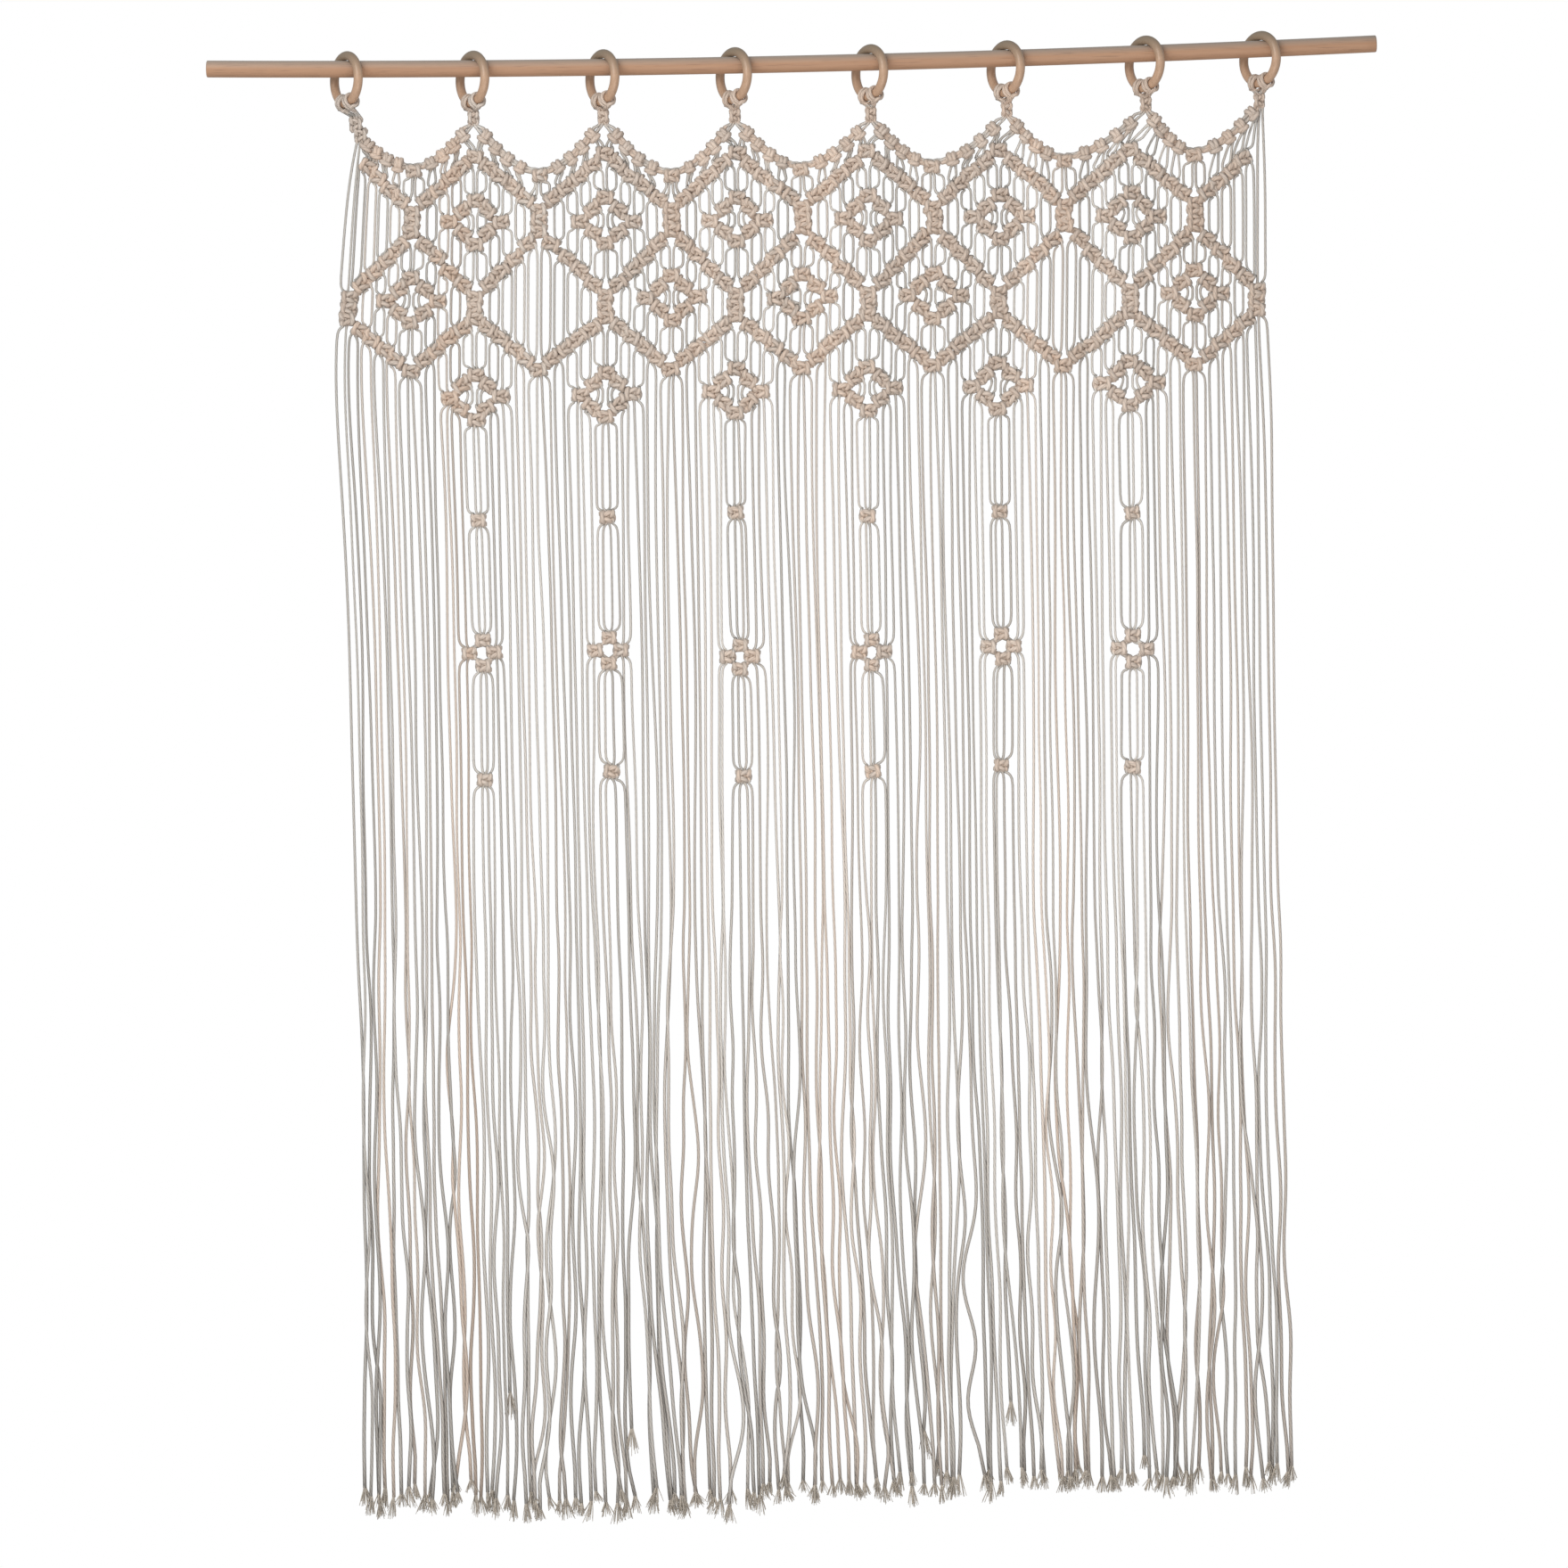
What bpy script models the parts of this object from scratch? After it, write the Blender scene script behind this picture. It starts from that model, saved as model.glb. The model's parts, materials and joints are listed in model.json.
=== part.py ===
"""Macrame curtain on a wooden rod: eight rings carry seven knotted scallops, a net of
hexagonal cells and a curtain of 144 strings.

Metres, +Z up, -Y is the front. The origin is on the rod's axis, halfway along it.
Run with: blender --background --python part.py
"""

import math

import bmesh
import bpy
from mathutils import Matrix, Vector

OBJECT_NAME = "macrame_curtain"
GAP = 0.0004  # upright clearance, which leaves 0.3 mm square to a sloping band
CUT_CLEARANCE = 0.0004  # how much larger a cutter is than the piece it makes room for
WELD = 1e-6  # points closer than this are one

# Rod: a dowel that the curtain's weight has bowed a little.
ROD_LENGTH = 1.530
ROD_RADIUS = 0.011
ROD_SAG = 0.010
ROD_SECTIONS = 12

# Rings: turned wooden rings that hang on the rod.
RING_INNER_RADIUS = 0.025
RING_TUBE_RADIUS = 0.006
RING_MAJOR_RADIUS = RING_INNER_RADIUS + RING_TUBE_RADIUS
RING_SEGMENTS = 28
RING_TUBE_SEGMENTS = 6
RING_TUBE_TURN = math.pi / RING_TUBE_SEGMENTS  # puts corners on the inner and outer rims

# One row for each ring. ring_x: its place on the rod. knot_x: where its bundle of cords
# ends. knot_drop: from the ring's lowest point to the middle of the gathering knot.
# turn: degrees by which the ring has swung round from square across the rod.
RINGS = (
    {"ring_x": -0.583, "knot_x": -0.570, "knot_drop": 0.035, "turn": 35},
    {"ring_x": -0.418, "knot_x": -0.417, "knot_drop": 0.020, "turn": 35},
    {"ring_x": -0.248, "knot_x": -0.246, "knot_drop": 0.020, "turn": 34},
    {"ring_x": -0.076, "knot_x": -0.076, "knot_drop": 0.022, "turn": 36},
    {"ring_x": 0.102, "knot_x": 0.101, "knot_drop": 0.024, "turn": 35},
    {"ring_x": 0.280, "knot_x": 0.280, "knot_drop": 0.023, "turn": 36},
    {"ring_x": 0.462, "knot_x": 0.462, "knot_drop": 0.022, "turn": 37},
    {"ring_x": 0.613, "knot_x": 0.609, "knot_drop": 0.023, "turn": 38},
)

# The bundle that loops over each ring. The cap lies over the ring's tube, and the rest
# tapers to the gathering knot. rise: height above the middle of the tube. at: share of the
# way from there to the knot. radius: the bundle's half width.
BUNDLE_CAP = (
    {"rise": 0.0101, "radius": 0.0066},
    {"rise": 0.0072, "radius": 0.0100},
)
BUNDLE = (
    {"at": 0.00, "radius": 0.0110},
    {"at": 0.35, "radius": 0.0100},
    {"at": 0.62, "radius": 0.0072},
    {"at": 0.82, "radius": 0.0088},
    {"at": 1.18, "radius": 0.0088},
    {"at": 1.36, "radius": 0.0060},
)
# A curve's bevel resolution: 1 makes six sides, and 6 makes sixteen.
BUNDLE_SIDES = 1
ROD_SIDES = 6

# Cords: twenty to a scallop, and two more down each side edge.
CORD_WIDTH = 0.004
CORD_SIDES = 3  # a cord's plain solid is a three-sided prism, flat side to the front
CORD_PRISM_RADIUS = CORD_WIDTH / math.sqrt(3)  # makes the flat side as wide as the cord
CORD_SPAN = (-CORD_WIDTH / 2, 0.0, CORD_WIDTH / 2)  # its reach to the left and right
CORDS_PER_SCALLOP = 20
EDGE_CORDS = 2
SCALLOPS = len(RINGS) - 1
SCALLOP_PITCH = 0.172
CORD_PITCH = SCALLOP_PITCH / CORDS_PER_SCALLOP
FIRST_COLUMN_X = -0.596  # under the first ring

# Scallops: carrier cords wrapped in lark's heads, hanging in a curve between two bundles.
SCALLOP_RADIUS = 0.0045
SCALLOP_VALLEY_Z = -0.137
SCALLOP_VALLEY_SHIFT = 0.008  # the valleys lie a little to the right of the stems
SCALLOP_START = 0.006  # how far to the side of the bundle's axis a scallop starts
SCALLOP_END_RISE = 0.004  # and how far above the bundle's lower end
SCALLOP_POINTS = 11
SCALLOP_SIDES = 1
# Where cords hang from a scallop, in shares of its width: eight lark's heads, two cords
# to each, and the valley knot in the middle.
HANGING_SHARES = (0.05, 0.15, 0.25, 0.35, 0.5, 0.65, 0.75, 0.85, 0.95)
VALLEY_KNOT_HALF = (0.010, 0.0056, 0.008)

# Net: three zigzag courses of square knots, joined by short vertical stems.
BAND_DEPTH = 0.0045  # half the thickness of a knotted band, front to back
BAND_HALF = 0.0085  # half the upright thickness of a sloping band
STEM_HALF = 0.010  # half the width of a stem
COURSE_1_PEAK_Z = -0.116
COURSE_1_LOW_Z = -0.184
STEM_1_BOTTOM_Z = -0.223
COURSE_2_LOW_Z = -0.297
STEM_2_BOTTOM_Z = -0.336
COURSE_3_LOW_Z = -0.397
NET_LEAN = 0.012  # the net hangs this much lower for each metre to the right

# Diamonds of knots, in the cells, below the net and further down the strings.
DIAMOND_HALF = (0.044, 0.036)
DIAMOND_HOLE_HALF = (0.024, 0.020)
DIAMOND_1_Z = -0.203
DIAMOND_2_Z = -0.305
CELLS_WITH_DIAMOND_2 = (1, 3, 4, 5, 7)  # the other cells of this row hold plain cords
DIAMOND_CORDS = (0.0129, 0.0301)  # sideways places of the cords that hold a diamond
CORD_SEAT = 0.004  # how deep a cord's end sits in a knot
COMB_DIAMONDS = ((-0.427, DIAMOND_HALF), (-0.768, (0.026, 0.026)))  # level and size
COMB_DIAMOND_HOLES = (DIAMOND_HOLE_HALF, (0.007, 0.009))

# Single square knots on the strings, under the second to the seventh ring.
KNOT_HALF = (0.0105, 0.0045, 0.0075)
SINGLE_KNOT_LEVELS = (-0.590, -0.926)

# Strings: where they end, one mean level for each scallop, and how far single ends differ.
# Two waves that never fall in step set each end, so that no two neighbours match.
STRING_ENDS = (-1.868, -1.888, -1.884, -1.880, -1.868, -1.870, -1.870)
END_SPREAD = 0.014
END_WAVES = (
    {"step": 2.4, "phase": 0.0, "share": 0.6},
    {"step": 5.9, "phase": 1.0, "share": 0.4},
)
STRING_DRIFT = 0.010  # how far the left edge has drifted inwards at the bottom
COMB_OVERHANG = 0.0028  # how far the course above runs on past its outermost string

# Strings cut or frayed short. string: counted from the left. end: its level.
SHORT_STRINGS = (
    {"string": 24, "end": -1.764},
    {"string": 43, "end": -1.814},
    {"string": 87, "end": -1.825},
    {"string": 100, "end": -1.790},
)


def clear_scene():
    for thing in list(bpy.data.objects):
        bpy.data.objects.remove(thing, do_unlink=True)


def new_collection(name):
    made = bpy.data.collections.new(name)
    bpy.context.scene.collection.children.link(made)
    return made


def new_material(name, colour, roughness):
    made = bpy.data.materials.new(name)
    made.use_nodes = True
    shader = made.node_tree.nodes["Principled BSDF"]
    shader.inputs["Base Color"].default_value = (*colour, 1.0)
    shader.inputs["Roughness"].default_value = roughness
    shader.inputs["Metallic"].default_value = 0.0
    return made


def add_object(name, data, collection, look=None):
    made = bpy.data.objects.new(name, data)
    collection.objects.link(made)
    if look:
        data.materials.append(look)
    return made


def as_cutter(thing):
    thing.hide_render = True
    thing.display_type = "WIRE"
    return thing


def tube(name, points, radii, collection, sides_setting, look=None):
    """A poly curve with filled caps; radii holds one radius for each point."""
    widest = max(radii)
    curve = bpy.data.curves.new(name, "CURVE")
    curve.dimensions = "3D"
    curve.bevel_depth = widest
    curve.bevel_resolution = sides_setting
    curve.use_fill_caps = True
    spline = curve.splines.new("POLY")
    spline.points.add(len(points) - 1)
    for place, point, radius in zip(spline.points, points, radii):
        place.co = (*point, 1.0)
        place.radius = radius / widest
    return add_object(name, curve, collection, look)


def plate(name, outlines, half_depth, collection, look=None):
    """A flat outline in the XZ plane, with any holes, given its thickness along Y."""
    curve = bpy.data.curves.new(name, "CURVE")
    curve.dimensions = "2D"
    curve.fill_mode = "BOTH"
    curve.extrude = half_depth
    for outline in outlines:
        spline = curve.splines.new("POLY")
        spline.points.add(len(outline) - 1)
        spline.use_cyclic_u = True
        for place, (x, z) in zip(spline.points, outline):
            place.co = (x, z, 0.0, 1.0)
    made = add_object(name, curve, collection, look)
    made.rotation_euler.x = math.pi / 2
    return made


def as_mesh(thing):
    """Turns a curve object into a mesh object with welded caps, so that it can be joined."""
    bpy.context.view_layer.update()
    graph = bpy.context.evaluated_depsgraph_get()
    name = thing.name
    mesh = bpy.data.meshes.new_from_object(thing.evaluated_get(graph))
    welded = bmesh.new()
    welded.from_mesh(mesh)
    bmesh.ops.remove_doubles(welded, verts=welded.verts, dist=WELD)
    bmesh.ops.recalc_face_normals(welded, faces=welded.faces)
    welded.to_mesh(mesh)
    welded.free()
    collection = thing.users_collection[0]
    place = thing.matrix_world.copy()
    bpy.data.objects.remove(thing, do_unlink=True)
    made = bpy.data.objects.new(name, mesh)
    made.matrix_world = place
    collection.objects.link(made)
    return made


def solids_mesh(name, build, collection):
    """A mesh object of several separate simple solids; build(bm) adds them."""
    bm = bmesh.new()
    build(bm)
    bmesh.ops.recalc_face_normals(bm, faces=bm.faces)
    mesh = bpy.data.meshes.new(name)
    bm.to_mesh(mesh)
    bm.free()
    return add_object(name, mesh, collection)


def add_upright_cord(bm, top, bottom):
    """A straight cord between two points, its ends cut level."""
    middle = (top + bottom) / 2
    length = top.z - bottom.z
    shear = Matrix.Identity(4)
    shear[0][2] = (top.x - bottom.x) / length
    shear[1][2] = (top.y - bottom.y) / length
    bmesh.ops.create_cone(
        bm,
        cap_ends=True,
        segments=CORD_SIDES,
        radius1=CORD_PRISM_RADIUS,
        radius2=CORD_PRISM_RADIUS,
        depth=length,
        matrix=Matrix.Translation(middle) @ shear,
    )


def add_block(bm, centre, half):
    size = Matrix.Diagonal((2 * half[0], 2 * half[1], 2 * half[2], 1.0))
    bmesh.ops.create_cube(bm, size=1.0, matrix=Matrix.Translation(centre) @ size)


def combine(base, other, operation):
    """A Boolean modifier that joins other to base, or cuts it away."""
    as_cutter(other)
    modifier = base.modifiers.new(other.name, "BOOLEAN")
    modifier.operation = operation
    modifier.solver = "EXACT"
    modifier.object = other


def rod_z(x):
    """Height of the rod's axis: a shallow parabola, lowest at the middle."""
    return ROD_SAG * (2 * x / ROD_LENGTH) ** 2


def column_x(number):
    """Under ring `number`, counted from 0."""
    return FIRST_COLUMN_X + number * SCALLOP_PITCH


def lean(x):
    return -NET_LEAN * x


def ring_centre(row):
    x = row["ring_x"]
    drop = RING_INNER_RADIUS - ROD_RADIUS - GAP
    return Vector((x, 0.0, rod_z(x) - drop))


def make_rod(collection, look):
    points = []
    for i in range(ROD_SECTIONS + 1):
        x = ROD_LENGTH * (i / ROD_SECTIONS - 0.5)
        points.append(Vector((x, 0.0, rod_z(x))))
    radii = [ROD_RADIUS] * len(points)
    tube("rod", points, radii, collection, ROD_SIDES, look)


def torus_mesh(name, tube_radius):
    bm = bmesh.new()
    circle = bmesh.ops.create_circle(
        bm,
        segments=RING_TUBE_SEGMENTS,
        radius=tube_radius,
        matrix=Matrix.Translation((RING_MAJOR_RADIUS, 0.0, 0.0))
        @ Matrix.Rotation(math.pi / 2, 4, "X")
        @ Matrix.Rotation(RING_TUBE_TURN, 4, "Z"),
    )
    bmesh.ops.spin(
        bm,
        geom=circle["verts"] + bm.edges[:],
        axis=(0, 0, 1),
        cent=(0, 0, 0),
        steps=RING_SEGMENTS,
        angle=2 * math.pi,
    )
    bmesh.ops.remove_doubles(bm, verts=bm.verts, dist=WELD)
    bmesh.ops.recalc_face_normals(bm, faces=bm.faces)
    mesh = bpy.data.meshes.new(name)
    bm.to_mesh(mesh)
    bm.free()
    mesh.shade_smooth()
    return mesh


def ring_placement(row):
    """Stands the ring upright, square across the rod, and swings its front to the right."""
    upright = Matrix.Rotation(math.pi / 2, 4, "Y")
    swing = Matrix.Rotation(math.radians(row["turn"]), 4, "Z")
    return Matrix.Translation(ring_centre(row)) @ swing @ upright


def bundle_points(row, extra=0.0):
    """The axis and half widths of the cords gathered under a ring, grown by extra."""
    tube_middle = ring_centre(row) - Vector((0.0, 0.0, RING_MAJOR_RADIUS))
    knot = Vector((row["knot_x"], 0.0, tube_middle.z - row["knot_drop"]))
    span = knot - tube_middle
    along = span.normalized()
    points = [tube_middle - along * section["rise"] for section in BUNDLE_CAP]
    points += [tube_middle + span * section["at"] for section in BUNDLE]
    points[0] -= along * extra
    points[-1] += along * extra
    radii = [section["radius"] + extra for section in BUNDLE_CAP + BUNDLE]
    return points, radii


def make_ring_and_knot(number, row, mesh, cutter_mesh, collection, cutters, looks):
    ring = add_object(f"ring_{number}", mesh, collection)
    ring.matrix_world = ring_placement(row)

    points, radii = bundle_points(row)
    name = f"ring_knot_{number}"
    knot = as_mesh(tube(name, points, radii, collection, BUNDLE_SIDES))
    knot.data.materials.append(looks["cotton"])
    room = add_object(f"ring_room_{number}", cutter_mesh, cutters)
    room.matrix_world = ring_placement(row)
    combine(knot, room, "DIFFERENCE")


def scallop_curve(left, right, valley, share):
    """A point of the hanging curve: two half parabolas that meet at the valley."""
    end = left if share < 0.5 else right
    away = abs(2 * share - 1)
    x = valley.x + (end.x - valley.x) * away
    z = valley.z + (end.z - valley.z) * away**2
    return Vector((x, 0.0, z))


def make_scallop(number, collection, cutters, look):
    rows = RINGS[number - 1 : number + 1]
    ends = []
    for side, row in zip((1, -1), rows):
        points, _ = bundle_points(row)
        offset = Vector((side * SCALLOP_START, 0.0, SCALLOP_END_RISE))
        ends.append(points[-1] + offset)
    column = column_x(number - 1)
    valley_x = column + SCALLOP_PITCH / 2 + SCALLOP_VALLEY_SHIFT
    valley = Vector((valley_x, 0.0, SCALLOP_VALLEY_Z))
    points = [
        scallop_curve(*ends, valley, i / (SCALLOP_POINTS - 1))
        for i in range(SCALLOP_POINTS)
    ]
    radii = [SCALLOP_RADIUS] * SCALLOP_POINTS
    name = f"scallop_{number}"
    scallop = as_mesh(tube(name, points, radii, collection, SCALLOP_SIDES))
    scallop.data.materials.append(look)

    def hanging_cords(bm):
        for share in HANGING_SHARES:
            x = column + share * SCALLOP_PITCH
            start = scallop_curve(*ends, valley, share)
            add_upright_cord(bm, start, Vector((x, 0.0, above_band(COURSE_1, x))))

    cords = solids_mesh(f"scallop_cords_{number}", hanging_cords, cutters)
    combine(scallop, cords, "UNION")

    def valley_knot(bm):
        add_block(bm, valley, VALLEY_KNOT_HALF)

    knot = solids_mesh(f"scallop_valley_knot_{number}", valley_knot, cutters)
    combine(scallop, knot, "UNION")
    for row, side in zip(rows, ("left", "right")):
        points, radii = bundle_points(row, CUT_CLEARANCE)
        room_name = f"{name}_{side}_room"
        room = as_mesh(tube(room_name, points, radii, cutters, BUNDLE_SIDES))
        combine(scallop, room, "DIFFERENCE")


def with_lean(corners):
    return [(x, z + lean(x)) for x, z in corners]


RING_COLUMNS = [column_x(i) for i in range(len(RINGS))]
VALLEY_COLUMNS = [x + SCALLOP_PITCH / 2 for x in RING_COLUMNS[:-1]]
STRING_REACH = (EDGE_CORDS - 0.5) * CORD_PITCH + COMB_OVERHANG
EDGE_START = 2 * CORD_PITCH  # the outer knots of the first course lie this far in


def course_1_corners():
    """Peaks under the inner rings, low points over the first stems."""
    slope = (COURSE_1_PEAK_Z - COURSE_1_LOW_Z) / (SCALLOP_PITCH / 2)
    edge_z = COURSE_1_PEAK_Z - slope * EDGE_START
    corners = [(x, COURSE_1_PEAK_Z) for x in RING_COLUMNS[1:-1]]
    corners += [(x, COURSE_1_LOW_Z) for x in VALLEY_COLUMNS]
    corners.append((RING_COLUMNS[0] + EDGE_START, edge_z))
    corners.append((RING_COLUMNS[-1] - EDGE_START, edge_z))
    return with_lean(sorted(corners))


def lower_course_corners(high_z, high_columns, low_z, low_columns):
    corners = [(x, high_z) for x in high_columns]
    corners += [(x, low_z) for x in low_columns]
    return with_lean(sorted(corners))


def band_edge(corners, x, offset):
    """Height of a course's centre line at x, plus offset."""
    if x <= corners[0][0]:
        return corners[0][1] + offset
    for (x0, z0), (x1, z1) in zip(corners, corners[1:]):
        if x <= x1:
            return z0 + (z1 - z0) * (x - x0) / (x1 - x0) + offset
    return corners[-1][1] + offset


def above_band(corners, x):
    """Where a cord's level end just clears the top of a band."""
    return max(band_edge(corners, x + r, BAND_HALF) for r in CORD_SPAN) + GAP


def below_band(corners, x):
    """Where a cord's level end just clears the underside of a band."""
    return min(band_edge(corners, x + r, -BAND_HALF) for r in CORD_SPAN) - GAP


COURSE_1 = course_1_corners()
COURSE_2 = lower_course_corners(
    STEM_1_BOTTOM_Z - GAP - BAND_HALF, VALLEY_COLUMNS, COURSE_2_LOW_Z, RING_COLUMNS
)
COURSE_3 = lower_course_corners(
    STEM_2_BOTTOM_Z - GAP - BAND_HALF, RING_COLUMNS, COURSE_3_LOW_Z, VALLEY_COLUMNS
)


def course_outline(corners, stem_columns, stem_bottom, end_reach=0.0):
    """Upper edge from left to right, then the lower edge back, with the stems on it."""
    first = (corners[0][0] - end_reach, corners[0][1])
    last = (corners[-1][0] + end_reach, corners[-1][1])
    line = [first, *corners, last] if end_reach else corners
    upper = [(x, z + BAND_HALF) for x, z in line]
    lower = []
    for x, z in reversed(line):
        near_stem = [c for c in stem_columns if abs(c - x) < STEM_HALF]
        if not near_stem:
            lower.append((x, z - BAND_HALF))
            continue
        for side in (STEM_HALF, -STEM_HALF):
            edge = (x + side, band_edge(corners, x + side, -BAND_HALF))
            foot = (x + side, stem_bottom + lean(x))
            lower += [edge, foot] if side > 0 else [foot, edge]
    return upper + lower


def make_course_1(collection, look):
    outline = course_outline(COURSE_1, VALLEY_COLUMNS, STEM_1_BOTTOM_Z)
    plate("net_course_1", [outline], BAND_DEPTH, collection, look)


def make_course_2(collection, look):
    """The outer stems stand under the curtain's side edges."""
    outline = course_outline(COURSE_2, RING_COLUMNS, STEM_2_BOTTOM_Z)
    plate("net_course_2", [outline], BAND_DEPTH, collection, look)


def rhombus(x, z, half):
    return [(x - half[0], z), (x, z - half[1]), (x + half[0], z), (x, z + half[1])]


def make_diamond(name, x, z, above, below, collection, cutters, look):
    """An eight-knot diamond and the eight cords that tie it to the courses round it."""
    z += lean(x)
    outlines = [rhombus(x, z, DIAMOND_HALF), rhombus(x, z, DIAMOND_HOLE_HALF)]
    diamond = as_mesh(plate(name, outlines, BAND_DEPTH, collection))
    diamond.data.materials.append(look)

    def cords(bm):
        for offset in DIAMOND_CORDS:
            for cord_x in (x - offset, x + offset):
                rise = DIAMOND_HALF[1] * (1 - offset / DIAMOND_HALF[0]) - CORD_SEAT
                high = Vector((cord_x, 0.0, below_band(above, cord_x)))
                add_upright_cord(bm, high, Vector((cord_x, 0.0, z + rise)))
                low = Vector((cord_x, 0.0, above_band(below, cord_x)))
                add_upright_cord(bm, Vector((cord_x, 0.0, z - rise)), low)

    combine(diamond, solids_mesh(f"{name}_cords", cords, cutters), "UNION")


def string_end(number):
    """Level of a string's cut end: its scallop's mean, and a spread that never repeats."""
    for short in SHORT_STRINGS:
        if short["string"] == number:
            return short["end"]
    scallop = min(SCALLOPS - 1, max(0, (number - EDGE_CORDS) // CORDS_PER_SCALLOP))
    spread = 0.0
    for wave in END_WAVES:
        spread += wave["share"] * math.sin(number * wave["step"] + wave["phase"])
    return STRING_ENDS[scallop] + END_SPREAD * spread


def string_runs(top, foot):
    """The stretches of a string that hang free, leaving out those knotted in a diamond."""

    def at_level(z):
        return top.lerp(foot, (top.z - z) / (top.z - foot.z))

    runs = []
    start = top
    for level, half in COMB_DIAMONDS:
        x = at_level(level).x
        away = min(abs(x - column) for column in RING_COLUMNS[1:-1])
        rise = half[1] * (1 - away / half[0]) - CORD_SEAT
        if rise > CORD_SEAT:
            runs.append((start, at_level(level + rise)))
            start = at_level(level - rise)
    runs.append((start, foot))
    return runs


def make_string_comb(collection, cutters, look):
    """The third course is the comb's back, and every string is one tooth."""
    outline = course_outline(COURSE_3, [], 0.0, STRING_REACH)
    comb = as_mesh(plate("string_comb", [outline], BAND_DEPTH, collection))
    comb.data.materials.append(look)
    count = SCALLOPS * CORDS_PER_SCALLOP + 2 * EDGE_CORDS
    left = RING_COLUMNS[0] - EDGE_CORDS * CORD_PITCH

    def strings(bm):
        for number in range(count):
            share = (number + 0.5) / count
            x = left + (number + 0.5) * CORD_PITCH
            foot_x = x + STRING_DRIFT * (1 - share)
            top = Vector((x, 0.0, band_edge(COURSE_3, x, 0.0)))
            foot = Vector((foot_x, 0.0, string_end(number)))
            for start, stop in string_runs(top, foot):
                add_upright_cord(bm, start, stop)

    teeth = solids_mesh("string_teeth", strings, cutters)

    outlines = []
    for x in RING_COLUMNS[1:-1]:
        for (level, half), hole in zip(COMB_DIAMONDS, COMB_DIAMOND_HOLES):
            outlines += [rhombus(x, level, half), rhombus(x, level, hole)]
    diamonds = as_mesh(plate("comb_diamonds", outlines, BAND_DEPTH, cutters))

    def single_knots(bm):
        for x in RING_COLUMNS[1:-1]:
            for z in SINGLE_KNOT_LEVELS:
                add_block(bm, Vector((x, 0.0, z)), KNOT_HALF)

    knots = solids_mesh("comb_knots", single_knots, cutters)
    for piece in (teeth, diamonds, knots):
        combine(comb, piece, "UNION")


def main():
    clear_scene()
    parts = new_collection(OBJECT_NAME)
    cutters = new_collection("cutters")
    looks = {
        "rod": new_material("rod_wood", (0.66, 0.49, 0.38), 0.55),
        "ring": new_material("ring_wood", (0.70, 0.54, 0.38), 0.40),
        "cotton": new_material("cotton_cord", (0.60, 0.53, 0.45), 0.90),
    }
    make_rod(parts, looks["rod"])
    ring_mesh = torus_mesh("ring", RING_TUBE_RADIUS)
    ring_mesh.materials.append(looks["ring"])
    room_mesh = torus_mesh("ring_room", RING_TUBE_RADIUS + CUT_CLEARANCE)
    for number, row in enumerate(RINGS, 1):
        make_ring_and_knot(number, row, ring_mesh, room_mesh, parts, cutters, looks)
    for number in range(1, SCALLOPS + 1):
        make_scallop(number, parts, cutters, looks["cotton"])
    make_course_1(parts, looks["cotton"])
    make_course_2(parts, looks["cotton"])
    for i, x in enumerate(RING_COLUMNS[1:-1], 1):
        name = f"diamond_1_{i}"
        neighbours = (COURSE_1, COURSE_2)
        make_diamond(name, x, DIAMOND_1_Z, *neighbours, parts, cutters, looks["cotton"])
    for i in CELLS_WITH_DIAMOND_2:
        name = f"diamond_2_{i}"
        x = VALLEY_COLUMNS[i - 1]
        neighbours = (COURSE_2, COURSE_3)
        make_diamond(name, x, DIAMOND_2_Z, *neighbours, parts, cutters, looks["cotton"])
    make_string_comb(parts, cutters, looks["cotton"])


main()
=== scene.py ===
# %% [markdown]
# # Macrame curtain on a wooden rod
# A knotted string curtain is nothing but cord: 144 ends of it, tied to each other in square
# knots. So this scene draws no cloth. It draws every cord from where it is looped on at the
# top, through each knot that it takes part in, down to its frayed end, and the scallops, the
# net and the diamonds appear by themselves.

import json
import math

import bpy
import numpy as np
from mathutils import Matrix, Vector

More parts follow.
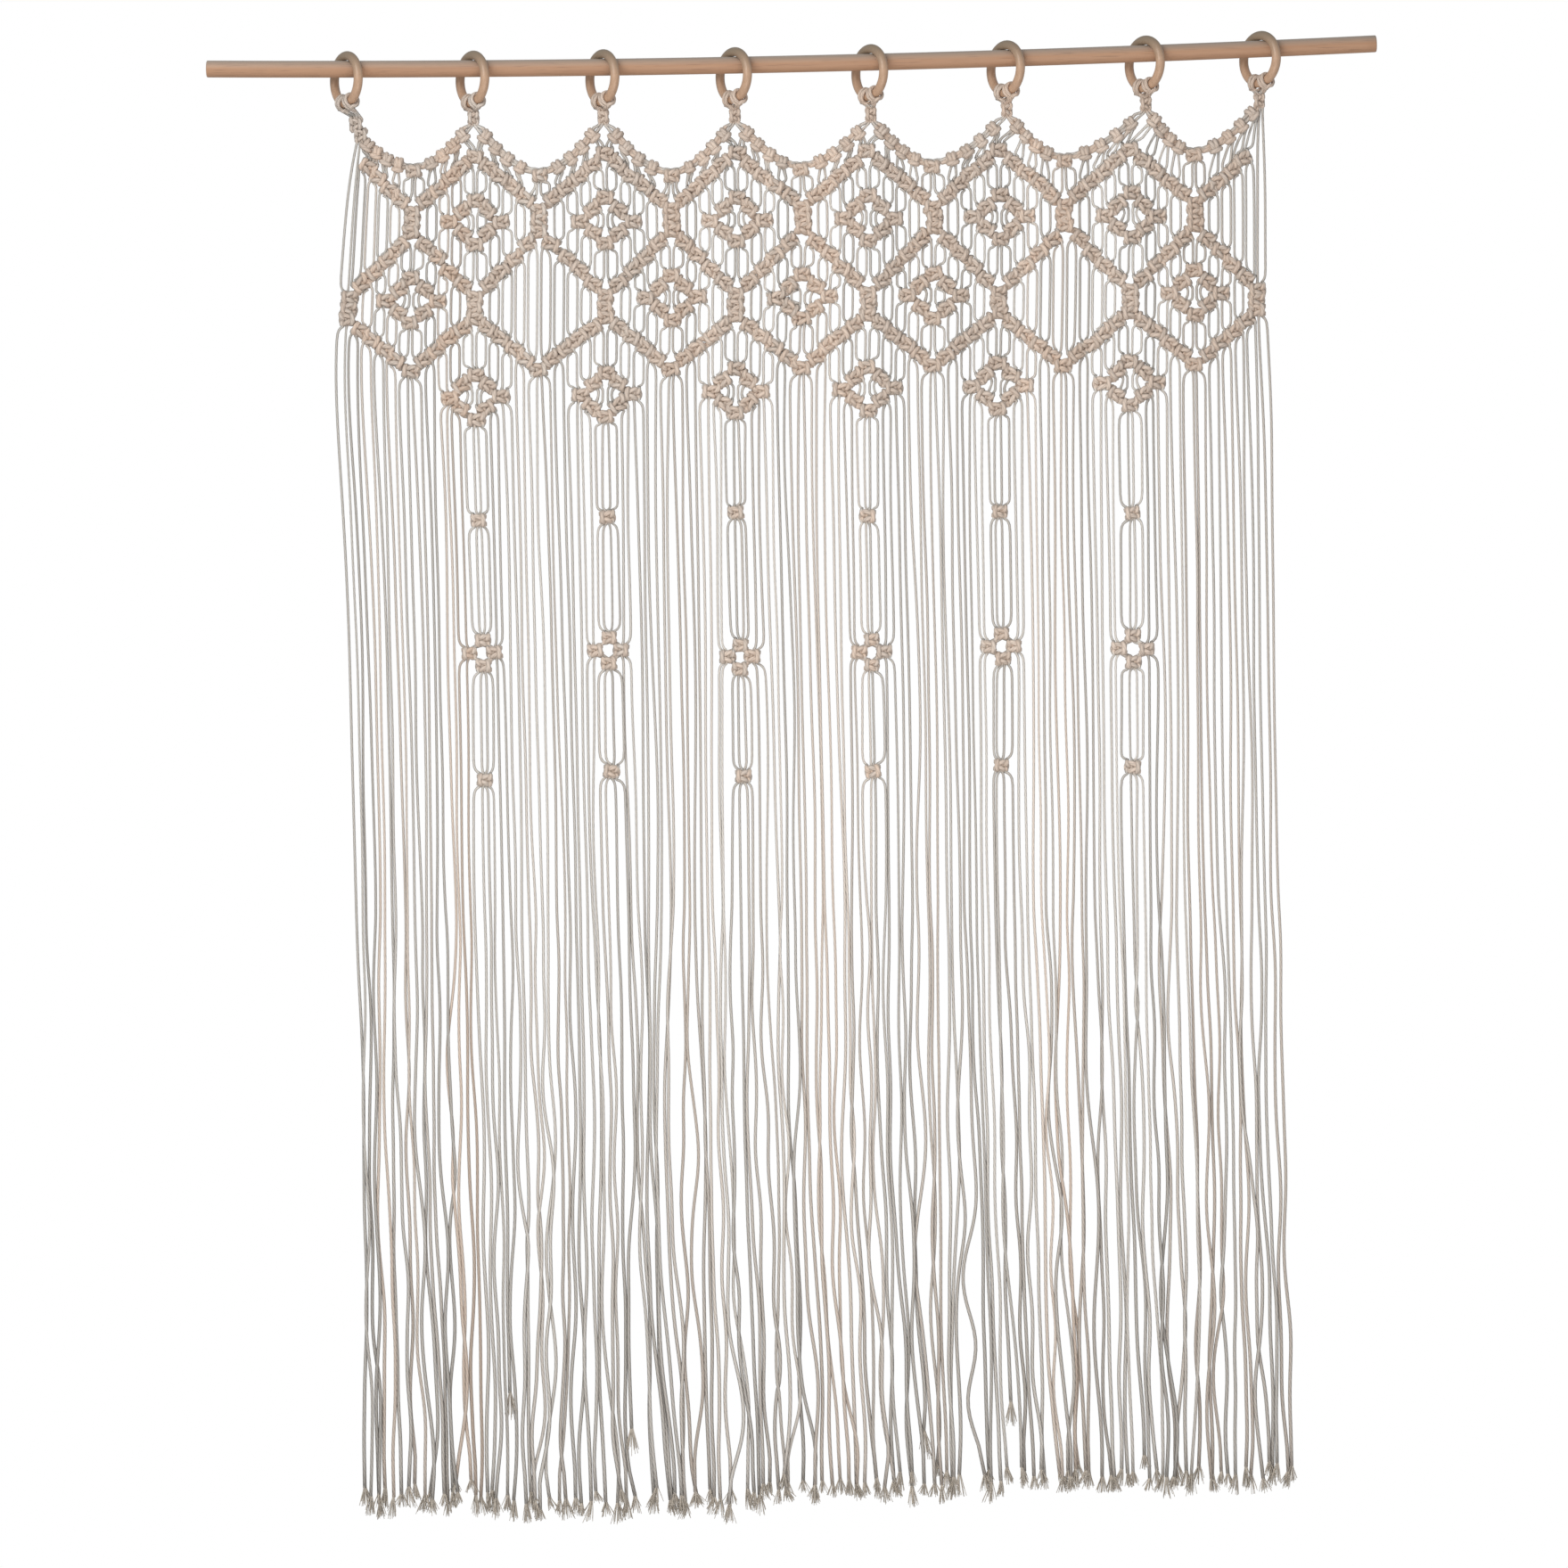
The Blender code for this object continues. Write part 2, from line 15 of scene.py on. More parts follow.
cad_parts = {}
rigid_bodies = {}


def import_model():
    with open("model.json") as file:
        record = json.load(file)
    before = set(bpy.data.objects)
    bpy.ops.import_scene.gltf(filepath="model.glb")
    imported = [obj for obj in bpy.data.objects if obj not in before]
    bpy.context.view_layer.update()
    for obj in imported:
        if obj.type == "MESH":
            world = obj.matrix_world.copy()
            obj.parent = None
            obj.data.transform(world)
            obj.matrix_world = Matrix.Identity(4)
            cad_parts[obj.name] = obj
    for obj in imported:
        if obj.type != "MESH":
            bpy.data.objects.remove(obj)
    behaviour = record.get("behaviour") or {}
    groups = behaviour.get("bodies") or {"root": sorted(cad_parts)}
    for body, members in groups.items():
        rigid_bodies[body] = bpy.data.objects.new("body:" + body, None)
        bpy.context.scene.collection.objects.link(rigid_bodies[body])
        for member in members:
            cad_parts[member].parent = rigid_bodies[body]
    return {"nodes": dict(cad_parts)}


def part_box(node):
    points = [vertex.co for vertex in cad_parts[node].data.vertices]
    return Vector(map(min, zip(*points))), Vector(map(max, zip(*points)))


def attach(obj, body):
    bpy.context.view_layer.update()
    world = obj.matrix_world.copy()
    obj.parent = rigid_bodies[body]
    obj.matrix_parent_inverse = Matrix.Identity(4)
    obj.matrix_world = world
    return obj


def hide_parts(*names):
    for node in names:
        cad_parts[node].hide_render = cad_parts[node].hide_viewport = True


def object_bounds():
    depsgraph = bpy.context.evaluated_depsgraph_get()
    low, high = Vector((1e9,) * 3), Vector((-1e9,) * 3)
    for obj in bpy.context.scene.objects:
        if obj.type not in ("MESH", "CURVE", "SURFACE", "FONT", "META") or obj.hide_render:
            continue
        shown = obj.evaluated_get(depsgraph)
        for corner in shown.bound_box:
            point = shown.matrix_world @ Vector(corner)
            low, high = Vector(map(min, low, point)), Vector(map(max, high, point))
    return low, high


for leftover in list(bpy.data.objects):
    bpy.data.objects.remove(leftover)
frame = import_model()
cad_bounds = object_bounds()
low, high = (Vector(corner) for corner in cad_bounds)
print("object size in metres:", [round(side, 3) for side in high - low])

# %% [markdown]
# ## Camera
# The curtain is seen square on, from a little left of its middle and from far enough away
# that the strings stay parallel. The camera leans by just over a degree, so the rod seems
# to rise to the right. The lens is set by its angle of view, which says how much of the
# object fits in a square picture whatever the sensor is.

# %% Camera
CAMERA_PLACE = (-0.0303, -6.5, -0.9418)
CAMERA_LEAN = math.radians(1.24)
CAMERA_ANGLE = math.radians(17.94)

camera_data = bpy.data.cameras.new("camera")
camera_data.sensor_fit = "HORIZONTAL"
camera_data.angle = CAMERA_ANGLE
camera_data.dof.use_dof = False
camera = bpy.data.objects.new("camera", camera_data)
bpy.context.scene.collection.objects.link(camera)
camera_turn = Matrix.Rotation(CAMERA_LEAN, 4, "Y") @ Matrix.Rotation(math.pi / 2, 4, "X")
camera.matrix_world = Matrix.Translation(CAMERA_PLACE) @ camera_turn
bpy.context.scene.camera = camera
print(f"the camera stands {-CAMERA_PLACE[1]} m in front of the curtain")

# %% [markdown]
# ## Light
# The background and the floor are pure white to the camera, but a white room would flatten
# pale cotton. A shader can ask which kind of ray meets it, so every ray but the camera's own
# sees a dimmer sky and a plain pale floor instead.

# %% Sky
SKY_TINT = (0.97, 0.98, 1.0, 1.0)
SKY_STRENGTH = 0.46
WHITE = (1.0, 1.0, 1.0, 1.0)


def white_to_camera(tree, shader, glow_kind, output):
    """Shows the camera a white glow where every other ray meets the shader."""
    glow = tree.nodes.new(glow_kind)
    glow.inputs["Color"].default_value = WHITE
    seen = tree.nodes.new("ShaderNodeLightPath")
    chosen = tree.nodes.new("ShaderNodeMixShader")
    for source, socket in ((seen.outputs["Is Camera Ray"], 0), (shader.outputs[0], 1), (glow.outputs[0], 2)):
        tree.links.new(source, chosen.inputs[socket])
    tree.links.new(chosen.outputs[0], tree.nodes[output].inputs["Surface"])


scene = bpy.context.scene
scene.view_settings.view_transform = "Standard"
world = bpy.data.worlds.new("white sky")
world.use_nodes = True
sky = world.node_tree.nodes["Background"]
sky.inputs["Color"].default_value = SKY_TINT
sky.inputs["Strength"].default_value = SKY_STRENGTH
white_to_camera(world.node_tree, sky, "ShaderNodeBackground", "World Output")
scene.world = world
print(f"the sky lights the curtain at {SKY_STRENGTH} of full strength")

# %% [markdown]
# Soft shadows need a lamp that is large for its distance. One high on the left gives the
# knots shape, and a weaker and warmer one below brightens the rod's underside.

# %% Lamps


def add_lamp(name, place, aim, size, power, colour):
    data = bpy.data.lights.new(name, "AREA")
    data.size = size
    data.energy = power
    data.color = colour
    lamp = bpy.data.objects.new(name, data)
    scene.collection.objects.link(lamp)
    lamp.location = place
    lamp.rotation_euler = (Vector(aim) - Vector(place)).to_track_quat("-Z", "Y").to_euler()
    print(f"{name} lamp: {power} W from a square of {size} m")


add_lamp("key", (-1.7, -2.9, 1.3), (0.0, 0.0, -0.3), size=2.2, power=68.0, colour=(1.0, 0.97, 0.93))
add_lamp("low", (0.3, -2.2, -1.5), (0.0, 0.0, 0.0), size=1.4, power=20.0, colour=(1.0, 0.89, 0.80))

# %% [markdown]
# The floor lies below the lowest string and runs far past the picture, so it has no edge.

# %% Floor
FLOOR_DROP = 0.12  # how far under the lowest string the floor lies
FLOOR_HALF = 12.0
FLOOR_GREY = (0.8, 0.8, 0.8, 1.0)


def new_look(name):
    look = bpy.data.materials.new(name)
    look.use_nodes = True
    return look, look.node_tree, look.node_tree.nodes["Principled BSDF"]


floor_z = low.z - FLOOR_DROP
corners = [(FLOOR_HALF * x, FLOOR_HALF * y, floor_z) for x, y in ((-1, -1), (1, -1), (1, 1), (-1, 1))]
floor_mesh = bpy.data.meshes.new("floor")
floor_mesh.from_pydata(corners, [], [(0, 1, 2, 3)])
floor = bpy.data.objects.new("floor", floor_mesh)
scene.collection.objects.link(floor)
floor_look, floor_tree, floor_shader = new_look("pale floor")
floor_shader.inputs["Base Color"].default_value = FLOOR_GREY
floor_shader.inputs["Roughness"].default_value = 0.9
white_to_camera(floor_tree, floor_shader, "ShaderNodeEmission", "Material Output")
floor_mesh.materials.append(floor_look)
print(f"the floor lies at {floor_z:.3f} m")

# %% [markdown]
# ## Materials
# A material is a tree of nodes, and a node group is a small tree with labelled sockets that
# can be used like a single node. These helpers keep the trees short: one makes a group, one
# feeds an input, one adds a node with its settings and inputs, and two add the commonest
# nodes of all.

# %% Helpers for nodes
FLOAT, VECTOR = "NodeSocketFloat", "NodeSocketVector"


def new_group(name, inputs, outputs):
    group = bpy.data.node_groups.new(name, "ShaderNodeTree")
    for socket, kind, value in inputs:
        made = group.interface.new_socket(socket, in_out="INPUT", socket_type=kind)
        if value is not None:
            made.default_value = value
    for socket, kind in outputs:
        group.interface.new_socket(socket, in_out="OUTPUT", socket_type=kind)
    return group, group.nodes.new("NodeGroupInput"), group.nodes.new("NodeGroupOutput")


def feed(tree, socket, value):
    """Gives an input a plain value, or links another node's output to it."""
    if isinstance(value, bpy.types.NodeSocket):
        tree.links.new(value, socket)
    else:
        socket.default_value = value


def add_node(tree, kind, settings=None, **sockets):
    """A node with its settings; an input goes by its name, or by i and its number."""
    node = tree.nodes.new(kind)
    for name, value in (settings or {}).items():
        setattr(node, name, value)
    for name, value in sockets.items():
        key = int(name[1:]) if name[0] == "i" and name[1:].isdigit() else name.replace("_", " ")
        feed(tree, node.inputs[key], value)
    return node


def maths(tree, operation, a, b=0.0, clamp=False):
    node = add_node(tree, "ShaderNodeMath", {"operation": operation, "use_clamp": clamp}, i0=a, i1=b)
    return node.outputs[0]


def mix_colour(tree, amount, a, b):
    """Colour a where the amount is nothing, and b where it is one."""
    node = add_node(tree, "ShaderNodeMix", {"data_type": "RGBA"})
    for key, value in ((0, amount), (6, a), (7, b)):
        feed(tree, node.inputs[key], value)
    return node.outputs[2]


# %% [markdown]
# ### Spun cord
# The real cord is three plies twisted together, with hair-fine fibres along each ply. The
# twist could be modelled, but on 325 m of cord that would take millions of triangles. So a
# group draws it on a smooth cord, from the UV map that every cord carries: U runs once round
# the cord and V along it in metres, so U * 3 + V / pitch is whole at the grooves between plies.

# %% Spun cord group
PLIES, PITCH = 3.0, 0.010  # the pitch is how far along the cord one ply follows another
GROOVE_SHARPNESS = 5.0  # the higher, the narrower the groove
FIBRES_ROUND, FIBRES_ALONG = 5.0, 60.0  # how fine the fibre noise is over a ply and along a metre

spun_cord, cord_in, cord_out = new_group(
    "spun cord",
    [("UV", VECTOR, None), ("Plies", FLOAT, PLIES), ("Pitch", FLOAT, PITCH)],
    [("Height", FLOAT), ("Groove", FLOAT), ("Fibre", FLOAT)],
)
uv_parts = add_node(spun_cord, "ShaderNodeSeparateXYZ", i0=cord_in.outputs["UV"])
round_cord = maths(spun_cord, "MULTIPLY", uv_parts.outputs[0], cord_in.outputs["Plies"])
down_cord = maths(spun_cord, "DIVIDE", uv_parts.outputs[1], cord_in.outputs["Pitch"])
over_ply = maths(spun_cord, "FRACT", maths(spun_cord, "ADD", round_cord, down_cord))
from_crown = maths(spun_cord, "SUBTRACT", maths(spun_cord, "MULTIPLY", over_ply, 2.0), 1.0)
from_crown = maths(spun_cord, "ABSOLUTE", from_crown)
height = maths(spun_cord, "SUBTRACT", 1.0, maths(spun_cord, "POWER", from_crown, 2.0))
groove = maths(spun_cord, "POWER", from_crown, GROOVE_SHARPNESS)
fibre_place = add_node(
    spun_cord,
    "ShaderNodeCombineXYZ",
    i0=maths(spun_cord, "MULTIPLY", over_ply, FIBRES_ROUND),
    i1=maths(spun_cord, "MULTIPLY", uv_parts.outputs[1], FIBRES_ALONG),
)
fibre = add_node(spun_cord, "ShaderNodeTexNoise", Vector=fibre_place.outputs[0], Scale=3.0, Detail=3.0)
for source, output in ((height, "Height"), (groove, "Groove"), (fibre.outputs[0], "Fibre")):
    spun_cord.links.new(source, cord_out.inputs[output])
print(f"a ply comes round every {PLIES * PITCH * 1000:.0f} mm of cord")

# %% [markdown]
# ### Cotton
# Cords packed in a knot throw warm light on each other, and a cord hanging free looks
# greyer, so each point of a cord carries a "tone" between the two; the warmth in a knot is
# painted light. A second number, the "shade", makes some cords darker than others, and it
# also carries a painted shade that darkens the cords towards their foot. The grooves between
# the plies get painted shadow, and the edges of a free cord get a painted dark rim, standing
# in for the shade of a cord backlit against a white background. Numbers stored on the points
# keep all cords in one material, where a colour for each cord would take 72 of them.

# %% Cotton material
COTTON_GREY = (0.64, 0.635, 0.61, 1.0)
COTTON_WARM = (0.71, 0.55, 0.44, 1.0)
COTTON_SHADE = (0.25, 0.225, 0.20, 1.0)
COTTON_HAIR = (0.84, 0.77, 0.70, 1.0)
HAIR_SHARE, GROOVE_SHARE = 0.3, 0.4
RIM_BLEND, FREE_RIM = 0.42, 1.05  # how wide the dark rim is, and how strong on a free cord
FIBRE_RELIEF = 0.4  # the fibres' height, in shares of a ply's
PLY_RELIEF = 0.0007

cotton, cotton_tree, cotton_shader = new_look("cotton cord")
cord_uv = add_node(cotton_tree, "ShaderNodeUVMap", {"uv_map": "cord"})
tone = add_node(cotton_tree, "ShaderNodeAttribute", {"attribute_name": "tone"}).outputs["Fac"]
shade = add_node(cotton_tree, "ShaderNodeAttribute", {"attribute_name": "shade"}).outputs["Fac"]
spun = add_node(cotton_tree, "ShaderNodeGroup", {"node_tree": spun_cord}, UV=cord_uv.outputs[0])
rim = add_node(cotton_tree, "ShaderNodeLayerWeight", Blend=RIM_BLEND)
cotton_colour = mix_colour(cotton_tree, tone, COTTON_GREY, COTTON_WARM)
hair_share = maths(cotton_tree, "MULTIPLY", spun.outputs["Fibre"], HAIR_SHARE)
cotton_colour = mix_colour(cotton_tree, hair_share, cotton_colour, COTTON_HAIR)
# painted shadow in the grooves between the plies
groove_share = maths(cotton_tree, "MULTIPLY", spun.outputs["Groove"], GROOVE_SHARE)
cotton_colour = mix_colour(cotton_tree, groove_share, cotton_colour, COTTON_SHADE)
# painted shade: a dark rim at the cord's edges, stronger on free cords, for a cord backlit against the white
# background
freedom = maths(cotton_tree, "SUBTRACT", FREE_RIM, tone)
painted_rim_share = maths(cotton_tree, "MULTIPLY", rim.outputs["Facing"], freedom)
cotton_colour = mix_colour(cotton_tree, painted_rim_share, cotton_colour, COTTON_SHADE)
shaded = add_node(cotton_tree, "ShaderNodeVectorMath", {"operation": "SCALE"}, i0=cotton_colour, Scale=shade)
cotton_tree.links.new(shaded.outputs[0], cotton_shader.inputs["Base Color"])
fibre_height = maths(cotton_tree, "MULTIPLY", spun.outputs["Fibre"], FIBRE_RELIEF)
cord_height = maths(cotton_tree, "ADD", spun.outputs["Height"], fibre_height)
bump = add_node(cotton_tree, "ShaderNodeBump", Strength=0.8, Distance=PLY_RELIEF, Height=cord_height)
cotton_tree.links.new(bump.outputs[0], cotton_shader.inputs["Normal"])
cotton_shader.inputs["Roughness"].default_value = 0.92
cotton_shader.inputs["Specular IOR Level"].default_value = 0.2
print("the cotton material has", len(cotton_tree.nodes), "nodes")

# %% [markdown]
# The unravelled ends are loose fibre with no plies left, so they get a material of their
# own: fine noise between a dark and a light cotton, which breaks each tuft up into strands.

# %% Frayed cotton material
FLUFF_DARK = (0.38, 0.345, 0.295, 1.0)
FLUFF_LIGHT = (0.78, 0.73, 0.655, 1.0)

fluff, fluff_tree, fluff_shader = new_look("frayed cotton")
fluff_shader.inputs["Roughness"].default_value = 0.95
fluff_shader.inputs["Specular IOR Level"].default_value = 0.2
fluff_place = add_node(fluff_tree, "ShaderNodeTexCoord").outputs["Object"]
fluff_noise = add_node(fluff_tree, "ShaderNodeTexNoise", Vector=fluff_place, Scale=240.0, Detail=2.0)
fluff_colour = mix_colour(fluff_tree, fluff_noise.outputs[0], FLUFF_DARK, FLUFF_LIGHT)
fluff_tree.links.new(fluff_colour, fluff_shader.inputs["Base Color"])
print("the frayed cotton material has", len(fluff_tree.nodes), "nodes")

# %% [markdown]
# ### Wood
# The rod and the rings are two kinds of wood, but both are bundles of long fibres. So their
# grain comes from one group. It stretches noise along the grain, and adds short pores and
# paler patches. A rod needs longer streaks than a small ring, hence the two scale inputs.

# %% Long grain group
long_grain, wood_in, wood_out = new_group(
    "long grain",
    [("Vector", VECTOR, None), ("Along", FLOAT, 6.0), ("Across", FLOAT, 160.0)],
    [("Grain", FLOAT), ("Pores", FLOAT), ("Patches", FLOAT)],
)
plain_place, scale_along, scale_across = (wood_in.outputs[name] for name in ("Vector", "Along", "Across"))
stretch = add_node(long_grain, "ShaderNodeCombineXYZ", i0=scale_along, i1=scale_across, i2=scale_across)
stretched = add_node(
    long_grain, "ShaderNodeVectorMath", {"operation": "MULTIPLY"}, i0=plain_place, i1=stretch.outputs[0]
)
grain_place = stretched.outputs[0]
grain = add_node(long_grain, "ShaderNodeTexNoise", Vector=grain_place, Scale=1.0, Detail=5.0, Roughness=0.6)
pores = add_node(long_grain, "ShaderNodeTexNoise", Vector=grain_place, Scale=4.5, Detail=1.0)
pores = add_node(long_grain, "ShaderNodeMapRange", Value=pores.outputs[0], From_Min=0.60, From_Max=0.72)
patches = add_node(long_grain, "ShaderNodeTexNoise", Vector=plain_place, Scale=7.0, Detail=2.0)
for node, output in ((grain, "Grain"), (pores, "Pores"), (patches, "Patches")):
    long_grain.links.new(node.outputs[0], wood_out.inputs[output])
print("the long grain group has", len(long_grain.nodes), "nodes")

# %% [markdown]
# Dust settles on whatever faces up and greys it, and the tops of the rod and the rings also
# lie in shade, which the same mask paints in. On the rod its colour is dust and painted shade
# together. On a ring, where it hangs against the rod, it is a painted shadow darker than the
# wood. Which way a surface faces is known from the shape itself: the rod's UV map starts on
# top, and a ring's own X axis points down. So each wood says how far up it faces, and one
# group turns that into a mask of dust and painted shade.

# %% Dust and painted top shade group
dust_and_top_shade, dust_shade_in, dust_shade_out = new_group(
    "dust and painted top shade",
    [("Upward", FLOAT, 0.0), ("Reach", FLOAT, 0.05), ("Share", FLOAT, 0.85)],
    [("Dust and shade", FLOAT)],
)
# the mask of dust and painted shade, strongest where a surface faces up
reaching = maths(dust_and_top_shade, "ADD", dust_shade_in.outputs["Upward"], dust_shade_in.outputs["Reach"])
dust_and_shade_mask = maths(dust_and_top_shade, "MULTIPLY", reaching, dust_shade_in.outputs["Share"], clamp=True)
dust_and_top_shade.links.new(dust_and_shade_mask, dust_shade_out.inputs["Dust and shade"])
RING_REACH = 0.031  # from a ring's middle to the middle of its tube


def upward_on_rod(tree):
    """One along the top of the rod and nothing at its sides."""
    rod_uv = add_node(tree, "ShaderNodeUVMap", {"uv_map": "cord"})
    round_rod = add_node(tree, "ShaderNodeSeparateXYZ", i0=rod_uv.outputs[0])
    return maths(tree, "COSINE", maths(tree, "MULTIPLY", round_rod.outputs[0], 2 * math.pi))


def upward_on_ring(tree):
    """One at a ring's highest point and nothing half way down."""
    ring_place = add_node(tree, "ShaderNodeTexCoord")
    downward = add_node(tree, "ShaderNodeSeparateXYZ", i0=ring_place.outputs["Object"])
    return maths(tree, "MULTIPLY", downward.outputs[0], -1 / RING_REACH)


print("the dust and painted top shade group has", len(dust_and_top_shade.nodes), "nodes")

# %% [markdown]
# The rod is a darker, matt wood. The rings are turned from a paler, yellower one and sanded
# smoother, so they shine a little more and their grain is finer.

# %% Rod wood and ring wood
PORE_SHARE, PATCH_SHARE = 0.45, 0.3
ROD_WOOD = {
    "light": (0.54, 0.325, 0.200, 1.0),
    "dark": (0.35, 0.19, 0.115, 1.0),
    "pore": (0.16, 0.085, 0.05, 1.0),
    # dust and painted shade on the rod's top
    "dust_and_shade": (0.345, 0.32, 0.285, 1.0),
}
RING_WOOD = {
    "light": (0.63, 0.425, 0.295, 1.0),
    "dark": (0.37, 0.24, 0.155, 1.0),
    "pore": (0.22, 0.135, 0.075, 1.0),
    # painted shadow on the ring's top, where it hangs against the rod
    "dust_and_shade": (0.235, 0.185, 0.13, 1.0),
}


def wood_look(name, colours, along, across, roughness, upward_on):
    look, tree, shader = new_look(name)
    place = add_node(tree, "ShaderNodeTexCoord").outputs["Object"]
    wood = add_node(
        tree, "ShaderNodeGroup", {"node_tree": long_grain}, Vector=place, Along=along, Across=across
    )
    pore_share = maths(tree, "MULTIPLY", wood.outputs["Pores"], PORE_SHARE)
    patch_share = maths(tree, "MULTIPLY", wood.outputs["Patches"], PATCH_SHARE)
    # dust and painted shade on whatever faces up
    dust_and_shade = add_node(tree, "ShaderNodeGroup", {"node_tree": dust_and_top_shade}, Upward=upward_on(tree))
    colour = mix_colour(tree, wood.outputs["Grain"], colours["dark"], colours["light"])
    colour = mix_colour(tree, pore_share, colour, colours["pore"])
    colour = mix_colour(tree, patch_share, colour, colours["light"])
    colour = mix_colour(tree, dust_and_shade.outputs["Dust and shade"], colour, colours["dust_and_shade"])
    tree.links.new(colour, shader.inputs["Base Color"])
    relief = add_node(tree, "ShaderNodeBump", Strength=0.25, Distance=0.0003, Height=wood.outputs["Grain"])
    tree.links.new(relief.outputs[0], shader.inputs["Normal"])
    shader.inputs["Roughness"].default_value = roughness
    print(name, "has", len(tree.nodes), "nodes")
    return look


rod_wood = wood_look("rod wood", ROD_WOOD, 6.0, 160.0, roughness=0.5, upward_on=upward_on_rod)
ring_wood = wood_look("ring wood", RING_WOOD, 30.0, 220.0, roughness=0.34, upward_on=upward_on_ring)

# %% [markdown]
# ## Tubes
# Blender can turn a curve into a tube, but a tube that is built here can change its width
# and carry a tone, a shade and a UV map from end to end. First come the lines: a line is a
# table of points, and these helpers measure it, space it evenly and round its bends.

# %% Helpers for lines


def measure_along(line):
    steps = np.linalg.norm(np.diff(line, axis=0), axis=1)
    return np.concatenate([[0.0], np.cumsum(steps)])


def respace(line, count):
    """The same path with its points evenly spaced."""
    at = measure_along(line)
    even = np.linspace(0.0, at[-1], count)
    return np.stack([np.interp(even, at, line[:, i]) for i in range(3)], axis=1)


def smooth_segments(points, spacing):
    """A smooth curve through the points, cut into one stretch for each gap between them."""
    points = np.asarray(points, float)
    gaps = np.linalg.norm(np.diff(points, axis=0), axis=1)[:, None]
    slopes = np.diff(points, axis=0) / gaps
    ways = np.vstack([slopes[:1], slopes, slopes[-1:]])
    weights = np.vstack([gaps[:1], gaps, gaps[-1:]])
    ways = (ways[:-1] * weights[1:] + ways[1:] * weights[:-1]) / (weights[:-1] + weights[1:])
    segments = []
    for i, gap in enumerate(gaps[:, 0]):
        count = max(1, math.ceil(gap / spacing))
        t = (np.arange(count) / count)[:, None]
        start, end = points[i], points[i + 1]
        leave, arrive = gap * ways[i], gap * ways[i + 1]
        bend = leave * t * (1 - t) ** 2 - arrive * t**2 * (1 - t)
        segments.append(start + (end - start) * (3 * t**2 - 2 * t**3) + bend)
    return segments


def smooth_path(points, spacing):
    return np.vstack([*smooth_segments(points, spacing), points[-1]])


print("half a metre in steps:", measure_along(respace(np.array([(0.0, 0.0, 0.0), (0.5, 0.0, 0.0)]), 5)))

# %% [markdown]
# A tube is a ring of points round each point of its line, and a row of faces between one
# ring and the next. The ring's direction is carried along without twisting. Six sides look
# round enough on a cord of 4 mm. Thousands of separate tubes would be slow, so they are
# gathered in batches, and each batch becomes one piece.

# %% Helpers for tubes
TINY = 1e-12  # keeps a division by a length from failing where the length is nothing


def new_batch():
    return {"points": [], "faces": [], "uvs": [], "tones": [], "shades": [], "count": 0, "length": 0.0}


def carried_frames(direction):
    """Two directions across the line at each of its points, carried along it untwisted."""
    side = np.cross(direction[0], (0.0, 1.0, 0.0))
    if np.linalg.norm(side) < 0.1:
        side = np.cross(direction[0], (1.0, 0.0, 0.0))
    frames = []
    for d in direction:
        side = side - d * np.dot(side, d)
        side /= np.linalg.norm(side) + TINY
        frames.append((side, np.cross(d, side)))
    return np.array(frames)


def add_tube(batch, line, radius, tone=0.5, shade=1.0, sides=6):
    """Adds a tube to a batch; radius, tone and shade are one number or one for each point."""
    line = np.asarray(line, float)
    count = len(line)
    radius = np.broadcast_to(np.asarray(radius, float), (count,))
    direction = np.gradient(line, axis=0)
    direction /= np.linalg.norm(direction, axis=1)[:, None] + TINY
    frames = carried_frames(direction)
    angles = 2 * math.pi * np.arange(sides) / sides
    cosines, sines = np.cos(angles)[None, :, None], np.sin(angles)[None, :, None]
    wheel = cosines * frames[:, None, 0] + sines * frames[:, None, 1]
    points = line[:, None] + wheel * radius[:, None, None]
    along = measure_along(line)
    base = batch["count"]
    batch["points"].append(points.reshape(-1, 3))
    batch["tones"].append(np.repeat(np.broadcast_to(tone, (count,)), sides))
    batch["shades"].append(np.repeat(np.broadcast_to(shade, (count,)), sides))
    for i in range(count - 1):
        row, below = base + i * sides, base + (i + 1) * sides
        for k in range(sides):
            after = (k + 1) % sides
            batch["faces"].append((row + k, row + after, below + after, below + k))
            u0, u1 = k / sides, (k + 1) / sides
            batch["uvs"] += (u0, along[i], u1, along[i], u1, along[i + 1], u0, along[i + 1])
    for row, order in ((base, range(sides - 1, -1, -1)), (base + (count - 1) * sides, range(sides))):
        batch["faces"].append(tuple(row + k for k in order))
        batch["uvs"] += (0.5, along[0]) * sides
    batch["count"] += count * sides
    batch["length"] += along[-1]


trial = new_batch()
add_tube(trial, [(0.0, 0.0, 0.0), (0.0, 0.0, -1.0)], 0.002)
print("a straight metre of cord has", trial["count"], "points and", len(trial["faces"]), "faces")

# %% [markdown]
# A batch becomes a mesh, and the mesh becomes a piece. The tones, the shades and the UV map
# are stored on the mesh, where the cotton material reads them. Nothing in this object moves
# on a joint, so every piece rides on the same body.

# %% Helper that makes a piece


def make_piece(name, batch, look):
    mesh = bpy.data.meshes.new(name)
    mesh.from_pydata(np.concatenate(batch["points"]).tolist(), [], batch["faces"])
    layer = mesh.uv_layers.new(name="cord")
    layer.data.foreach_set("uv", batch["uvs"])
    for attribute in ("tone", "shade"):
        values = mesh.attributes.new(attribute, "FLOAT", "POINT")
        values.data.foreach_set("value", np.concatenate(batch[attribute + "s"]))
    mesh.materials.append(look)
    mesh.shade_smooth()
    mesh.validate()
    piece = bpy.data.objects.new(name, mesh)
    scene.collection.objects.link(piece)
    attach(piece, "root")
    triangles = sum(len(face.vertices) - 2 for face in mesh.polygons)
    print(f"{name}: {triangles} triangles along {batch['length']:.1f} m")
    return piece


